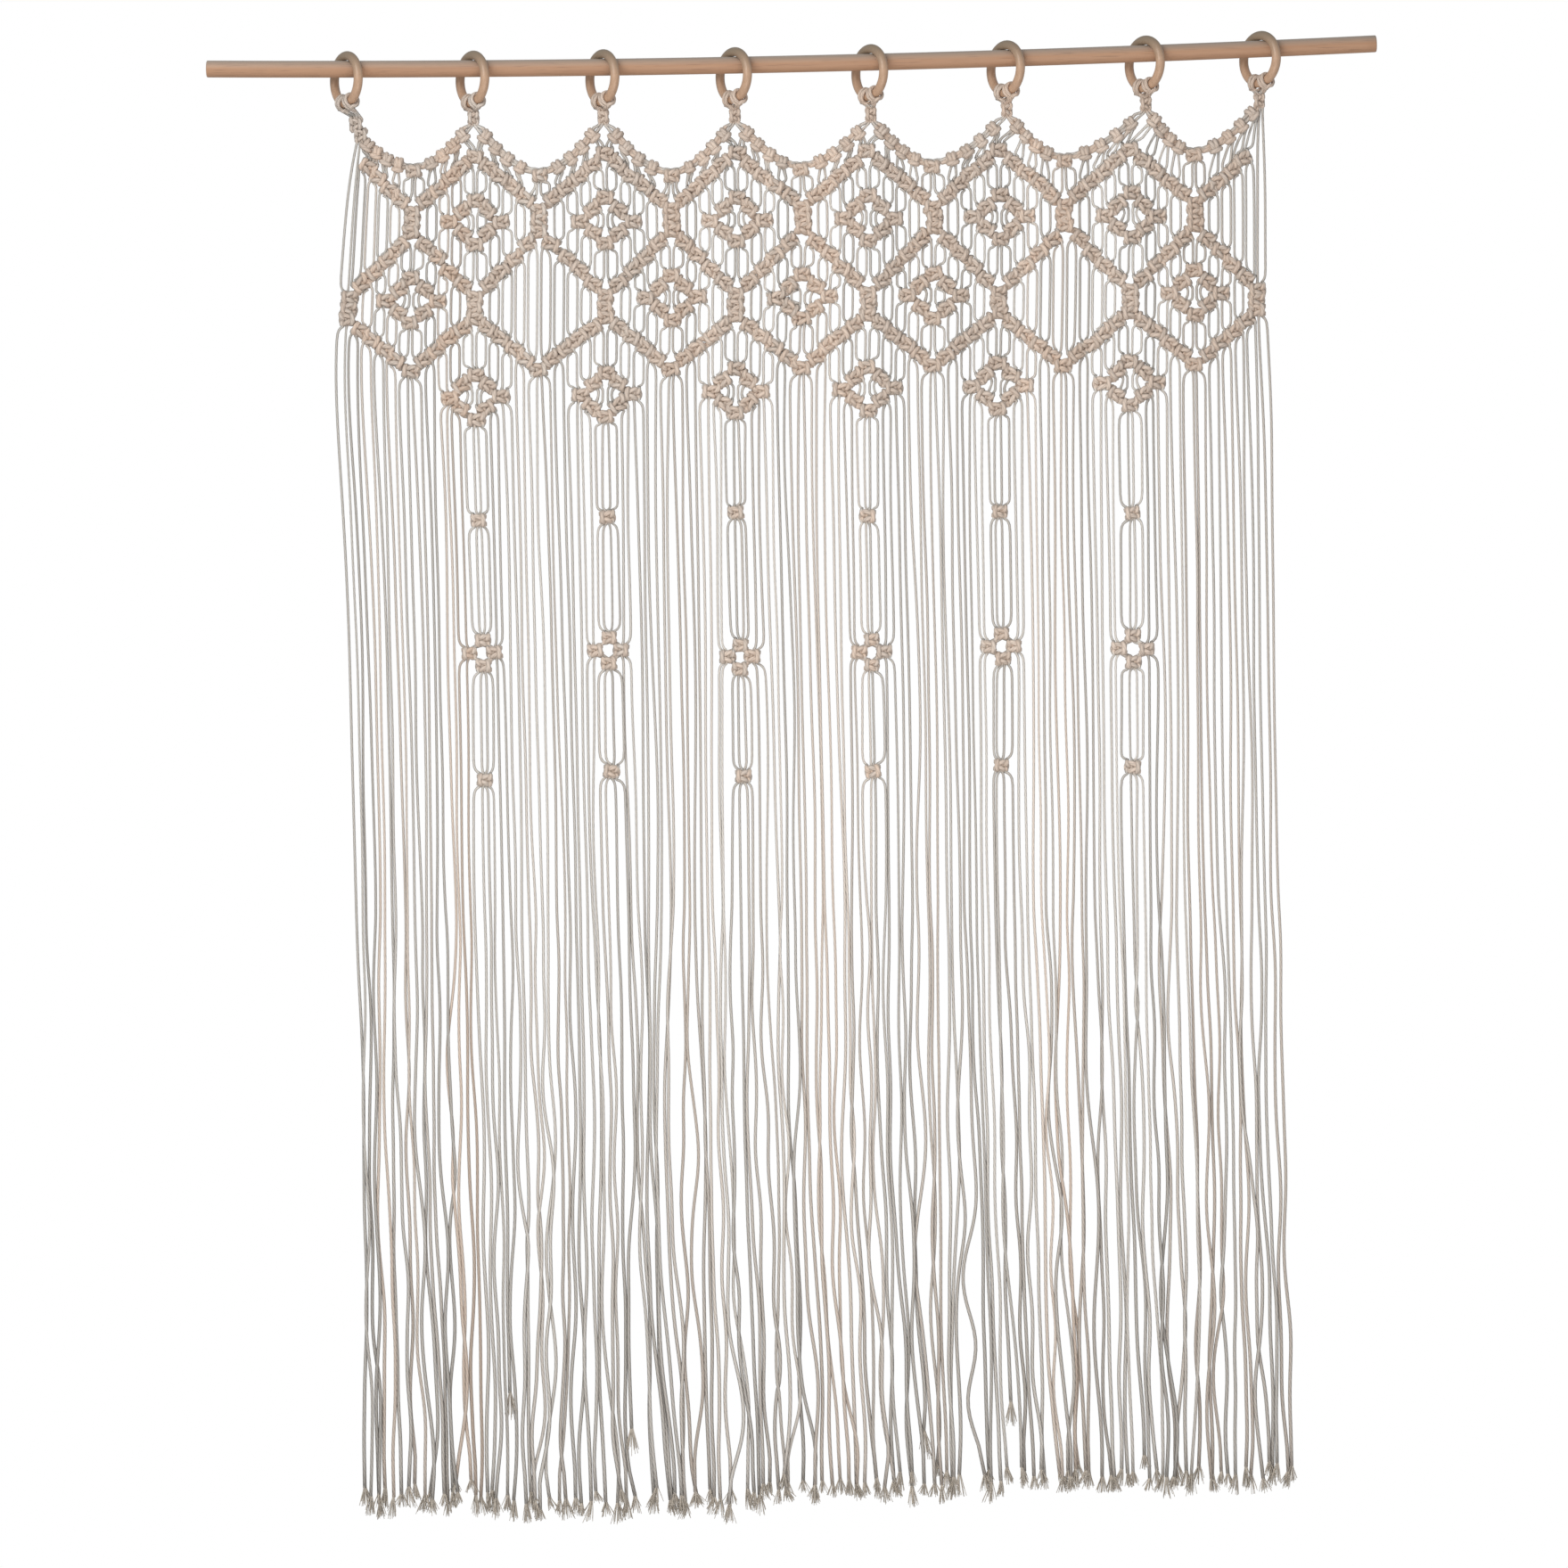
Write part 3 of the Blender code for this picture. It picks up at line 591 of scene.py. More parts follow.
# %% [markdown]
# ## A square knot
# In a square knot two outer cords, the workers, are tied round two cores. Writing down the
# exact shape by hand is hopeless, but the order in which the cords pass over and under is
# easy. So a loose knot is drawn first, in units of one cord's thickness, and then settled:
# every strand is pulled tight while strands that come too near push each other away.

# %% Settling a loose knot
NO_GAP = 1e-9  # added to a distance before anything is divided by it
KIN = 4  # points of one strand that lie fewer than this apart don't push each other
PUSH, PUSHES = 0.22, 3  # strength, and how often strands push for each pull
RESPACE_EVERY = 6


def push_apart(points, near_kin, axle):
    """One push: points nearer than a cord's thickness part, and none stays inside the axle."""
    apart = points[:, None] - points
    far = np.linalg.norm(apart, axis=2) + NO_GAP
    push = np.where(near_kin | (far >= 1.0), 0.0, PUSH * (1.0 - far) / far)
    points += (apart * push[..., None]).sum(axis=1)
    if axle:
        out = np.linalg.norm(points[:, 1:], axis=1) + NO_GAP
        least = axle + 0.5
        points[:, 1:] *= np.where(out < least, least / out, 1.0)[:, None]


def settle(strands, steps, pull=0.2, axle=0.0):
    """Pulls the strands tight round each other and, if there is one, round an axle along X."""
    counts = [len(strand) for strand in strands]
    points = np.concatenate(strands).astype(float)
    owner = np.repeat(np.arange(len(strands)), counts)
    index = np.concatenate([np.arange(count) for count in counts])
    near_kin = (owner[:, None] == owner) & (abs(index[:, None] - index) < KIN)
    cuts = np.cumsum([0, *counts])
    ends = (index == 0) | (index == np.repeat(counts, counts) - 1)
    held = points[ends].copy()
    for step in range(steps):
        for a, b in zip(cuts, cuts[1:]):
            line = points[a:b]
            line[1:-1] += pull * (line[:-2] + line[2:] - 2 * line[1:-1])
            if step % RESPACE_EVERY == RESPACE_EVERY - 1:
                points[a:b] = respace(line, b - a)
        for _ in range(PUSHES):
            push_apart(points, near_kin, axle)
            points[ends] = held
    return [points[a:b].copy() for a, b in zip(cuts, cuts[1:])]


# %% [markdown]
# The loose knot has four strands. The cores run straight down through the middle. The two
# workers are drawn point by point, wide enough that no strand cuts another, and only down
# to the middle, because a square knot is two half knots that mirror each other.

# %% A settled square knot


def mirrored(half):
    """The loose path of a strand whose lower half repeats its upper half upside down."""
    return half + [(x, y, -z) for x, y, z in reversed(half)]


FRONT_WORKER = mirrored(
    [(-1.75, 0.0, 1.9), (-1.7, -0.35, 1.5), (-1.1, -0.95, 1.1), (0.0, -1.3, 0.9)]
    + [(0.9, -1.1, 0.8), (1.6, -0.35, 0.65), (2.05, 0.1, 0.2)]
)
WRAP_WORKER = mirrored(
    [(1.75, 0.0, 1.9), (1.75, -0.6, 1.5), (1.55, -1.35, 0.95), (1.25, -0.9, 0.35), (1.05, 0.2, 0.3)]
    + [(0.7, 1.1, 0.4), (0.0, 1.35, 0.6), (-0.7, 1.1, 1.1), (-1.0, 0.2, 1.55), (-1.2, -0.7, 1.65)]
    + [(-1.6, -1.3, 1.2), (-2.05, -0.9, 0.6), (-2.15, -0.6, 0.15)]
)
LOOSE_SPACING = 0.2
FRONT_POINTS, CORE_POINTS, WRAP_POINTS = 34, 11, 46
SETTLING_STEPS = 160
STRAND_POINTS = (26, 7, 7, 34)  # enough for a smooth look once the strands have settled
loose_knot = [
    respace(smooth_path(FRONT_WORKER, LOOSE_SPACING), FRONT_POINTS),
    respace(np.array([(-0.45, 0.0, 1.9), (-0.5, 0.0, -1.9)]), CORE_POINTS),
    respace(np.array([(0.45, 0.0, 1.9), (0.5, 0.0, -1.9)]), CORE_POINTS),
    respace(smooth_path(WRAP_WORKER, LOOSE_SPACING), WRAP_POINTS),
]
settled = settle(loose_knot, SETTLING_STEPS)
knot_strands = [respace(strand, count) for strand, count in zip(settled, STRAND_POINTS)]
knot_widths = np.ptp(np.concatenate(knot_strands), axis=0) + 1
print("settled knot in cord widths:", np.round(knot_widths, 2))

# %% [markdown]
# ## A lark's head
# A lark's head is how cords are looped onto something: the folded cord's bight lies across
# the front, and both ends pass behind it. It is settled like the knot, but round an axle:
# one head for a pair of carrier cords and one for the thicker tube of a wooden ring.

# %% Settling the lark's heads
CARRIER_AXLE = 0.85  # half the width of two cords side by side, a little squeezed
RING_AXLE = 1.5  # a ring's tube is three cords thick
HEAD_POINTS, HEAD_STEPS, HEAD_PULL = 52, 120, 0.15
HEAD_FOOT = -2.3  # where the head ends and the two tails hang free


def loose_head(axle):
    out = axle + 0.6
    left = [(-0.5, -0.5, -3.0), (-0.5, -out * 0.8, -1.6), (-0.5, -out, -0.3), (-0.55, -out * 0.7, out * 0.75)]
    left += [(-0.7, 0.2, out), (-1.0, out, 0.3), (-1.3, out * 0.7, -out * 0.75), (-1.55, -0.2, -out - 0.1)]
    left += [(-1.4, -out * 0.85, -out * 0.85), (-0.8, -out - 0.85, -0.85)]
    return left + [(0.0, -out - 1.0, -0.8)] + [(-x, y, z) for x, y, z in reversed(left)]


def settled_head(axle):
    line = respace(smooth_path(loose_head(axle), LOOSE_SPACING), HEAD_POINTS)
    head = settle([line], HEAD_STEPS, pull=HEAD_PULL, axle=axle)[0]
    return head[head[:, 2] > HEAD_FOOT]


carrier_head, ring_head = (settled_head(axle) for axle in (CARRIER_AXLE, RING_AXLE))
print("points in a head on a carrier and on a ring:", len(carrier_head), len(ring_head))

# %% [markdown]
# ## Where everything hangs
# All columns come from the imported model. Six diamonds hang under the six inner rings, so
# their spacing gives the spacing of the rings, and a twentieth of it is the step from one
# cord to the next. The heights of the net come from the boxes of its two courses. Heights
# are in metres below the rod, so they are negative.

# %% Places taken from the model
CORD = 0.004
CORDS_PER_SCALLOP = 20
HALF = CORDS_PER_SCALLOP // 2
SCALLOPS = 7
EDGE_CORDS = 2  # hanging from each outermost ring, beside the scallops
KNOT_MIDDLE = 1.5  # the middle of a knot's four cords, counted from the first
CORDS = SCALLOPS * CORDS_PER_SCALLOP + 2 * EDGE_CORDS
LEAN = 0.012  # the net hangs this much lower for each metre to the right
PEAK_DROP = 0.0085  # from the top of a course to the middle of its highest knot
FOOT_RISE = 0.007  # from the foot of a course to the middle of its lowest knot
POINT_DROP = 0.068  # from the last knot of a lower stem to the points of the third course


def box(node):
    return tuple(Vector(corner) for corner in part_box(node))


inner = [sum(box(f"diamond_1_{i}"), Vector()).x / 2 for i in range(1, SCALLOPS)]
scallop_width = (inner[-1] - inner[0]) / (len(inner) - 1)
ring_columns = [inner[0] - scallop_width, *inner, inner[-1] + scallop_width]
cord_step = scallop_width / CORDS_PER_SCALLOP
straight = ring_columns[0] + (np.arange(CORDS) - KNOT_MIDDLE) * cord_step

peak_z = box("net_course_1")[1].z - PEAK_DROP + LEAN * ring_columns[1]
stem_1_z = box("net_course_1")[0].z + FOOT_RISE + LEAN * (ring_columns[-2] + scallop_width / 2)
stem_2_z = box("net_course_2")[0].z + FOOT_RISE + LEAN * ring_columns[-1]
point_z = stem_2_z - POINT_DROP
print("peaks, stems and points at", [round(z, 4) for z in (peak_z, stem_1_z, stem_2_z, point_z)])

# %% [markdown]
# ## How the strings hang
# Long strings are never quite straight, and a cloth or rope simulation of 144 of them would
# be slow and hard to steer. So their sideways places are a table, one row for each string
# and one column for each level, which is built up from simple effects in the next cells.

# %% Levels of the table
LEVEL_STEP, FINE_STEP = 0.02, 0.0125  # finer where the strings sway most
TABLE_TOP, FINE_FROM, TABLE_FOOT = -0.06, -1.1, -1.97

rng = np.random.default_rng(20)
levels = np.concatenate(
    [np.arange(TABLE_TOP, FINE_FROM, -LEVEL_STEP), np.arange(FINE_FROM, TABLE_FOOT, -FINE_STEP)]
)


def growing(start, span):
    """Nothing down to a drop of start, then growing evenly to one over the span."""
    return np.clip((-levels - start) / span, 0.0, 1.0)


depth = growing(0.42, 1.45)
below_net = growing(0.40, 0.15)
near_end = growing(1.0, 0.85)
print(len(levels), "levels for", CORDS, "strings")

# %% [markdown]
# Nobody ties a perfectly regular net. The whole work drifts a little sideways as it goes
# down, the outermost strings hang towards the middle, and at the top the edge is pulled
# towards the ring that carries it.

# %% Columns that drift
DRIFT_LEVELS = (-1.0, -0.60, -0.40, -0.30, -0.20, -0.10)
DRIFTS = (-0.003, -0.003, -0.0022, 0.0022, 0.0045, 0.0045)
EDGE_LEVELS = (-1.9, -1.5, -1.1, -0.75, -0.6, -0.45, -0.36)
LEFT_INWARD, LEFT_FADE = 0.013, 8  # the higher the fade, the fewer strings follow the edge
RIGHT_INWARD, RIGHT_FADE = -0.006, 2
LEFT_SHARES = (0.75, 0.85, 1.35, 1.50, 1.25, 0.70, 0.2)
RIGHT_SHARES = (1.0, 1.0, 1.0, 0.65, 0.5, 0.3, 0.2)
PULL_LEVELS = (-0.45, -0.34, -0.28, -0.16, -0.12, -0.08)
LEFT_PULL, LEFT_REACH = (0.0, 0.004, 0.010, 0.016, 0.022, 0.030), 9.0  # reach is in cords
RIGHT_PULL, RIGHT_REACH = (0.0, -0.008, -0.012, -0.009, -0.010, -0.014), 5.0

drift = np.interp(levels, DRIFT_LEVELS, DRIFTS)
rightness = np.linspace(0, 1, CORDS)[:, None]  # nothing at the left edge, one at the right
inward = LEFT_INWARD * (1 - rightness) ** LEFT_FADE * np.interp(levels, EDGE_LEVELS, LEFT_SHARES)
inward = inward + RIGHT_INWARD * rightness**RIGHT_FADE * np.interp(levels, EDGE_LEVELS, RIGHT_SHARES)
from_left = np.arange(CORDS)[:, None]
from_right = from_left[::-1]
pulled = np.interp(levels, PULL_LEVELS, LEFT_PULL) * np.exp(-from_left / LEFT_REACH)
pulled = pulled + np.interp(levels, PULL_LEVELS, RIGHT_PULL) * np.exp(-from_right / RIGHT_REACH)
print("the left edge moves by up to", round(1000 * (drift + inward + pulled)[0].max()), "mm")

# %% [markdown]
# Each string wanders on its own and with its neighbours, more so further down. A sum of
# sine waves with random starts does it smoothly, where plain noise would look nervous. The
# random numbers are seeded, so every run draws the same curtain.

# %% Strings that wander


def waves(count, strengths, lengths):
    """Smooth wandering: a sum of sine waves down the strings, each with a random start."""
    made = np.zeros((count, len(levels)))
    for strength, length in zip(strengths, lengths):
        start = rng.uniform(0, 2 * math.pi, (count, 1))
        made += strength * rng.normal(0, 1.0, (count, 1)) * np.sin(2 * math.pi * levels / length + start)
    return made


GROUPS = 30  # how many clumps of strings wander together
NET_SWAY, UNDER_SWAY, LOW_SWAY = 0.0007, 0.0008, 0.0062  # in the net, just under it, near the floor
SWAY_POWER = 1.4
PAIR_SPREAD = 0.0019  # the two cords that leave a knot together hang wide apart
COLUMN_SCATTER = 0.0014
CURL, END_CURL, CRIMP = 0.0006, 0.0046, 0.0006  # cord that was wound up keeps some of its bends

own = waves(CORDS, (0.55, 0.45, 0.30, 0.15), (1.3, 0.55, 0.24, 0.11))
together = waves(GROUPS, (0.8, 0.6), (1.9, 0.8))
clump = np.linspace(0, GROUPS - 1, CORDS)
shared = np.stack([np.interp(clump, np.arange(GROUPS), row) for row in together.T], axis=1)
low_sway = LOW_SWAY * depth**SWAY_POWER
in_pair = np.where(np.arange(CORDS) % 2, 1, -1)[:, None]
across = straight[:, None] + drift + inward + pulled
across += PAIR_SPREAD * in_pair * (1 - below_net)
across += own * (NET_SWAY + UNDER_SWAY * below_net + low_sway) + shared * (NET_SWAY + low_sway)
across += rng.normal(0, COLUMN_SCATTER, (CORDS, 1)) * below_net
across += waves(CORDS, (0.8, 0.6, 0.45), (0.31, 0.17, 0.10)) * (CURL * below_net + END_CURL * near_end)
across += waves(CORDS, (1.0, 0.6), (0.067, 0.049)) * CRIMP * below_net
print("a string strays up to", round(1000 * np.ptp(across, axis=1).max()), "mm sideways")

# %% [markdown]
# Here and there the strings part and leave a gap. A parting pushes the strings on both of
# its sides away, the nearest ones most, and it opens slowly on the way down.

# %% Partings
PARTINGS = (
    {"x": -0.236, "drop": 1.45, "half": 0.010},
    {"x": -0.108, "drop": 1.50, "half": 0.008},
    {"x": 0.199, "drop": 1.30, "half": 0.013},
)
PARTING_SPAN, PARTING_REACH = 0.35, 0.022

for parting in PARTINGS:
    away = across - parting["x"]
    opening = parting["half"] * growing(parting["drop"], PARTING_SPAN)
    across += np.sign(away) * opening * np.exp(-np.abs(away) / PARTING_REACH)
print(len(PARTINGS), "partings")

# %% [markdown]
# Two wandering strings would soon pass through each other. So they also get places to the
# front and the back, and wherever two of them come too near they are pushed apart, as real
# ones are, until they only touch. A little smoothing after each push keeps them supple.

# %% Strings that touch
DEEP_SWAY, LOW_DEEP_SWAY = 0.0004, 0.0026
DEEP_SCATTER, DEEPEST = 0.0022, 0.005
TOUCH = 0.97  # in cord widths: soft cords press into each other a little
NEIGHBOURS = (1, 2, 3)
TOUCHING_STEPS = 40
STIFF, SUPPLE = 0.8, 0.1  # a place's own share in the smoothing, and each neighbour's

deep = waves(CORDS, (0.8, 0.5), (1.5, 0.6)) * (DEEP_SWAY + LOW_DEEP_SWAY * depth)
deep += np.clip(rng.normal(0, DEEP_SCATTER, (CORDS, 1)), -DEEPEST, DEEPEST) * below_net
for _ in range(TOUCHING_STEPS):
    for gap in NEIGHBOURS:
        dx = across[gap:] - across[:-gap]
        dy = deep[gap:] - deep[:-gap]
        far = np.hypot(dx, dy) + NO_GAP
        push = 0.5 * np.clip(CORD * TOUCH - far, 0.0, None) / far
        across[gap:] += dx * push
        across[:-gap] -= dx * push
        deep[gap:] += dy * push
        deep[:-gap] -= dy * push
    for table in (across, deep):
        table[:, 1:-1] = STIFF * table[:, 1:-1] + SUPPLE * (table[:, :-2] + table[:, 2:])


def hang(cord, z):
    """Where a string is at a level."""
    return np.array((np.interp(-z, -levels, across[cord]), np.interp(-z, -levels, deep[cord]), z))


print("the strings hang", round(1000 * np.ptp(deep)), "mm deep from front to back")

# %% [markdown]
# ## The knotting pattern
# Every knot ties four neighbouring cords, counted from the left, and its place follows from
# where those four hang. Hand-tied knots differ, so each gets a small shift, turn and change
# of size by chance. The net's knots are a little larger than the single ones below it.

# %% One knot
KNOT_SCATTER, DEPTH_SCATTER = 0.0007, 0.0006
TURN_SCATTER, SIZE_SCATTER = 4.0, 0.04
LINE_KNOT = (1.12, 1.18, 1.28)  # size, in shares of a settled knot
STEM_KNOT = (1.02, 1.18, 1.15)
VALLEY_KNOT = (0.95, 1.10, 1.10)
SMALL_KNOT = (0.93, 1.1, 1.15)
knots = []


def tie(first, z, tilt=0.0, size=LINE_KNOT, lean=LEAN):
    """Adds a square knot on four cords, counted from the first; tilt is in degrees."""
    x, y, _ = np.mean([hang(cord, z) for cord in range(first, first + 4)], axis=0)
    x += rng.normal(0, KNOT_SCATTER)
    place = np.array((x, y + rng.normal(0, DEPTH_SCATTER), z - lean * x + rng.normal(0, KNOT_SCATTER)))
    turn = math.radians(tilt + rng.normal(0, TURN_SCATTER))
    size = np.array(size) * rng.normal(1.0, SIZE_SCATTER)
    knots.append({"first": first, "place": place, "turn": turn, "size": size, "flip": rng.random() < 0.5})


print(f"a knot in the net is {knot_widths[0] * CORD * LINE_KNOT[0] * 1000:.0f} mm wide")

# %% [markdown]
# The next knot along a slope takes two cords of the last one and two new ones, so a slope
# moves sideways by two cords at a time. A stem ties the same four again and again. Slopes
# and stems are all there is to this net, so two loops tie it.

# %% The net
SLOPE_STEPS, SLOPE_TILT = 5, 31.0
STEM_KNOTS, KNOT_RISE = 3, 0.014
STEM_RISE = (STEM_KNOTS - 1) * KNOT_RISE
VALLEY_LEVELS = (-0.129, -0.139, -0.143, -0.139, -0.139, -0.134, -0.131)


def slope(first, top, bottom, side):
    """Knots down a slope, without its two ends: side is 1 for rightwards, -1 for leftwards."""
    for step in range(1, SLOPE_STEPS):
        z = top + (bottom - top) * step / SLOPE_STEPS
        tie(first + 2 * side * step, z, tilt=side * SLOPE_TILT)


def stem(first, bottom):
    for knot in range(STEM_KNOTS):
        tie(first, bottom + knot * KNOT_RISE, size=STEM_KNOT)


for ring in range(SCALLOPS + 1):
    under = ring * CORDS_PER_SCALLOP
    if 0 < ring < SCALLOPS:
        tie(under, peak_z)
    for side in (-1, 1):
        if 0 <= ring + side <= SCALLOPS:
            slope(under, peak_z, stem_1_z + STEM_RISE, side)
            slope(under + HALF * side, stem_1_z, stem_2_z + STEM_RISE, -side)
            slope(under, stem_2_z, point_z, side)
    stem(under, stem_2_z)
for scallop, valley_z in enumerate(VALLEY_LEVELS):
    under = scallop * CORDS_PER_SCALLOP + HALF
    tie(under, valley_z, size=VALLEY_KNOT, lean=0.0)
    stem(under, stem_1_z)
    tie(under, point_z)
print(len(knots), "square knots in the net and the valleys")

# %% [markdown]
# A diamond is a ring of knots. Two rows of them fill the net's cells, apart from two cells
# that stay plain, and a third row hangs under the net. Below each diamond of that row come a
# single knot, a small diamond of four and another single knot.

# %% The diamonds and single knots
DIAMOND_RISE, SMALL_DIAMOND_RISE = 0.0145, 0.0165  # from one knot to the next
DIAMOND_REACH, SMALL_DIAMOND_REACH = 2, 1  # in slopes of two cords
DIAMOND_1_Z, DIAMOND_2_Z, DIAMOND_3_Z = -0.203, -0.305, -0.427
CELLS_WITH_DIAMOND = (1, 3, 4, 5, 7)
SINGLE_LEVELS = (-0.590, -0.587, -0.585, -0.593, -0.591, -0.598)
SMALL_DIAMOND_LEVELS = (-0.762, -0.762, -0.774, -0.772, -0.768, -0.775)
LAST_LEVELS = (-0.928, -0.920, -0.931, -0.928, -0.924, -0.929)


def diamond(first, z, reach=DIAMOND_REACH, rise=DIAMOND_RISE, lean=LEAN, size=LINE_KNOT):
    """A ring of knots that spreads by reach slopes of two cords to each side."""
    tie(first, z + reach * rise, lean=lean, size=size)
    tie(first, z - reach * rise, lean=lean, size=size)
    for out in range(1, reach + 1):
        for side in (1, -1):
            for level in sorted({reach - out, out - reach}):
                tilt = side * ((level > 0) - (level < 0)) * SLOPE_TILT
                tie(first + 2 * side * out, z + level * rise, tilt=tilt, lean=lean, size=size)


for ring in range(1, SCALLOPS):
    under = ring * CORDS_PER_SCALLOP
    diamond(under, DIAMOND_1_Z)
    diamond(under, DIAMOND_3_Z, lean=0.0)
    small_z = SMALL_DIAMOND_LEVELS[ring - 1]
    diamond(under, small_z, SMALL_DIAMOND_REACH, SMALL_DIAMOND_RISE, lean=0.0, size=SMALL_KNOT)
    for column in (SINGLE_LEVELS, LAST_LEVELS):
        tie(under, column[ring - 1], lean=0.0, size=SMALL_KNOT)
for cell in CELLS_WITH_DIAMOND:
    diamond((cell - 1) * CORDS_PER_SCALLOP + HALF, DIAMOND_2_Z)
print(len(knots), "square knots in all")

# %% [markdown]
# ## Rings and what is looped on them
# Each ring's box tells how far the ring has swung round: the more it has turned towards the
# viewer, the wider the box. Two folded cords are looped on a ring with lark's heads. Their
# four ends are tied in a gathering knot, and then two go to each side as scallop carriers.

# %% Ring places
RING_TUBE = 0.006
KNOT_SHARE = 0.735  # how far down its bundle a gathering knot sits
rings = []
for number in range(1, SCALLOPS + 2):
    ring_low, ring_high = box(f"ring_{number}")
    bundle_low, bundle_high = box(f"ring_knot_{number}")
    centre = (ring_low + ring_high) / 2
    reach = (ring_high.z - ring_low.z) / 2 - RING_TUBE
    turn = math.asin(((ring_high.x - ring_low.x) / 2 - RING_TUBE) / reach)
    tube_z = centre.z - reach
    knot_x = bundle_low.x + bundle_high.x - centre.x
    knot_z = tube_z + (bundle_low.z - tube_z) * KNOT_SHARE
    rings.append({"centre": centre, "reach": reach, "turn": turn, "knot": np.array((knot_x, 0.0, knot_z))})
print("rings swung by", [round(math.degrees(ring["turn"])) for ring in rings], "degrees")

# %% [markdown]
# Knots and heads were settled in cord widths round their own middles. To place one, its
# points are scaled to metres and laid along three axes of its own. Where two placed
# stretches of a cord don't meet, a smooth bridge joins them.

# %% Placing and joining stretches of cord
BRIDGE_SPACING = 0.005


def put(points, place, axes):
    """Points in cord widths, placed in the scene: axes holds the local X, Y and Z as rows."""
    return np.asarray(place) + CORD * np.asarray(points) @ np.asarray(axes)


def turned(angle):
    """Axes turned clockwise about Y, as seen from the front."""
    return ((math.cos(angle), 0, -math.sin(angle)), (0, 1, 0), (math.sin(angle), 0, math.cos(angle)))


def strand_in(knot, cord):
    """The stretch of a cord inside a knot, from top to bottom."""
    number = cord - knot["first"]
    strand = knot_strands[3 - number] * (-1, 1, 1) if knot["flip"] else knot_strands[number]
    return put(strand * knot["size"], knot["place"], turned(knot["turn"]))


def joined(stretches):
    """One path through several stretches, bridging the gaps between them smoothly."""
    path = [stretches[0]]
    for above, below in zip(stretches, stretches[1:]):
        bridge = smooth_segments(np.vstack([above[-2:], below[:2]]), BRIDGE_SPACING)[len(above[-2:]) - 1]
        path += [bridge[1:], below]
    return np.vstack(path)


print("an upright piece lies along", turned(0.0))

# %% [markdown]
# Two heads sit side by side on a ring's lower rim, one on each side of its lowest point, and
# their four tails meet in the gathering knot. The first ring hangs at the edge of the
# curtain, where the bundle is longer, so it gets two knots, one below the other.

# %% Heads and knots under a ring
RING_HEAD_SIZE = (1.15, 1.1, 1.1)
HEAD_PLACE = math.radians(17)  # how far round the ring from its lowest point
GATHER_SIZE, FIRST_GATHER_SIZE = (0.62, 1.15, 1.08), (0.80, 1.20, 1.15)
UPPER_KNOT = np.array((0.0, 0.0, 0.008))
LOWER_KNOT = np.array((0.0060, 0.0, -0.0065))


def head_on_ring(ring, side):
    """A lark's head on the ring's lower rim; side is 1 for the right one, -1 for the left."""
    out = np.array((math.sin(ring["turn"]), -math.cos(ring["turn"]), 0.0))
    up = np.array((0.0, 0.0, 1.0))
    angle = side * HEAD_PLACE
    along = math.cos(angle) * out + math.sin(angle) * up
    inwards = -math.sin(angle) * out + math.cos(angle) * up
    axes = (along, np.cross(inwards, along), inwards)
    return put(ring_head * RING_HEAD_SIZE, np.array(ring["centre"]) - ring["reach"] * inwards, axes)


def gather_knots(ring, first_ring):
    """The knots under a ring: one as a rule, two under the first ring's longer bundle."""
    size = np.array(FIRST_GATHER_SIZE if first_ring else GATHER_SIZE)
    knot = {"first": 0, "turn": 0.0, "size": size, "flip": rng.random() < 0.5}
    if not first_ring:
        return [{**knot, "place": ring["knot"]}]
    return [{**knot, "place": ring["knot"] + shift} for shift in (UPPER_KNOT, LOWER_KNOT)]


print("heads sit", round(math.degrees(HEAD_PLACE)), "degrees to each side of a ring's lowest point")

# %% [markdown]
# ## Scallops
# A scallop's carriers leave the gathering knot and hang in a curve to the valley knot. Its
# own weight would bend a cord into a chain's curve, but the heads looped on it pull each half
# straighter. So a half is drawn as a power curve, with a given power.

# %% Carriers
ARC_POINTS, ARC_POWER = 12, 1.75
FOOT_UNDER_KNOT, FOOT_OUT = 0.006, 0.003  # where a carrier leaves its gathering knot
VALLEY_OVER_KNOT, VALLEY_IN = 0.006, 0.004  # and where it enters its valley knot
CARRIER_APART = (0.85, 0.70, 0.48)  # in cord widths, closing up towards the first head
APART_SHARES = (0.0, 0.12, 0.25)


def carrier_arc(start, valley):
    away = np.linspace(1, 0, ARC_POINTS)
    x = valley[0] + (start[0] - valley[0]) * away
    z = valley[2] + (start[2] - valley[2]) * away**ARC_POWER
    return np.stack([x, np.zeros(ARC_POINTS), z], axis=1)


def arc_of(scallop, side, gather):
    """The middle line of a scallop's half, on the right of its ring or on the left."""
    foot = gather[-1]["place"] - (0.0, 0.0, FOOT_UNDER_KNOT)
    valley_knot = next(k for k in knots if k["first"] == scallop * CORDS_PER_SCALLOP + HALF)
    valley = valley_knot["place"] + (-side * VALLEY_IN, 0.0, VALLEY_OVER_KNOT)
    return carrier_arc(foot + (side * FOOT_OUT, 0.0, 0.0), valley)


def shifted(arc, side, amount):
    """The arc moved sideways in its own plane, upwards for a positive amount."""
    way = np.gradient(arc, axis=0)
    way /= np.linalg.norm(way, axis=1)[:, None]
    return arc + amount * CORD * side * np.stack([-way[:, 2], np.zeros(len(arc)), way[:, 0]], axis=1)


def carrier(arc, side, strand, gather):
    """A carrier from the gathering knots along the arc; the two outer strands lie on top."""
    upper = (strand in (0, 3)) * 2 - 1
    apart = np.interp(np.linspace(0, 1, ARC_POINTS), APART_SHARES, CARRIER_APART)[:, None]
    return joined([*(strand_in(knot, strand) for knot in gather), shifted(arc, side, upper * apart)[1:-1]])


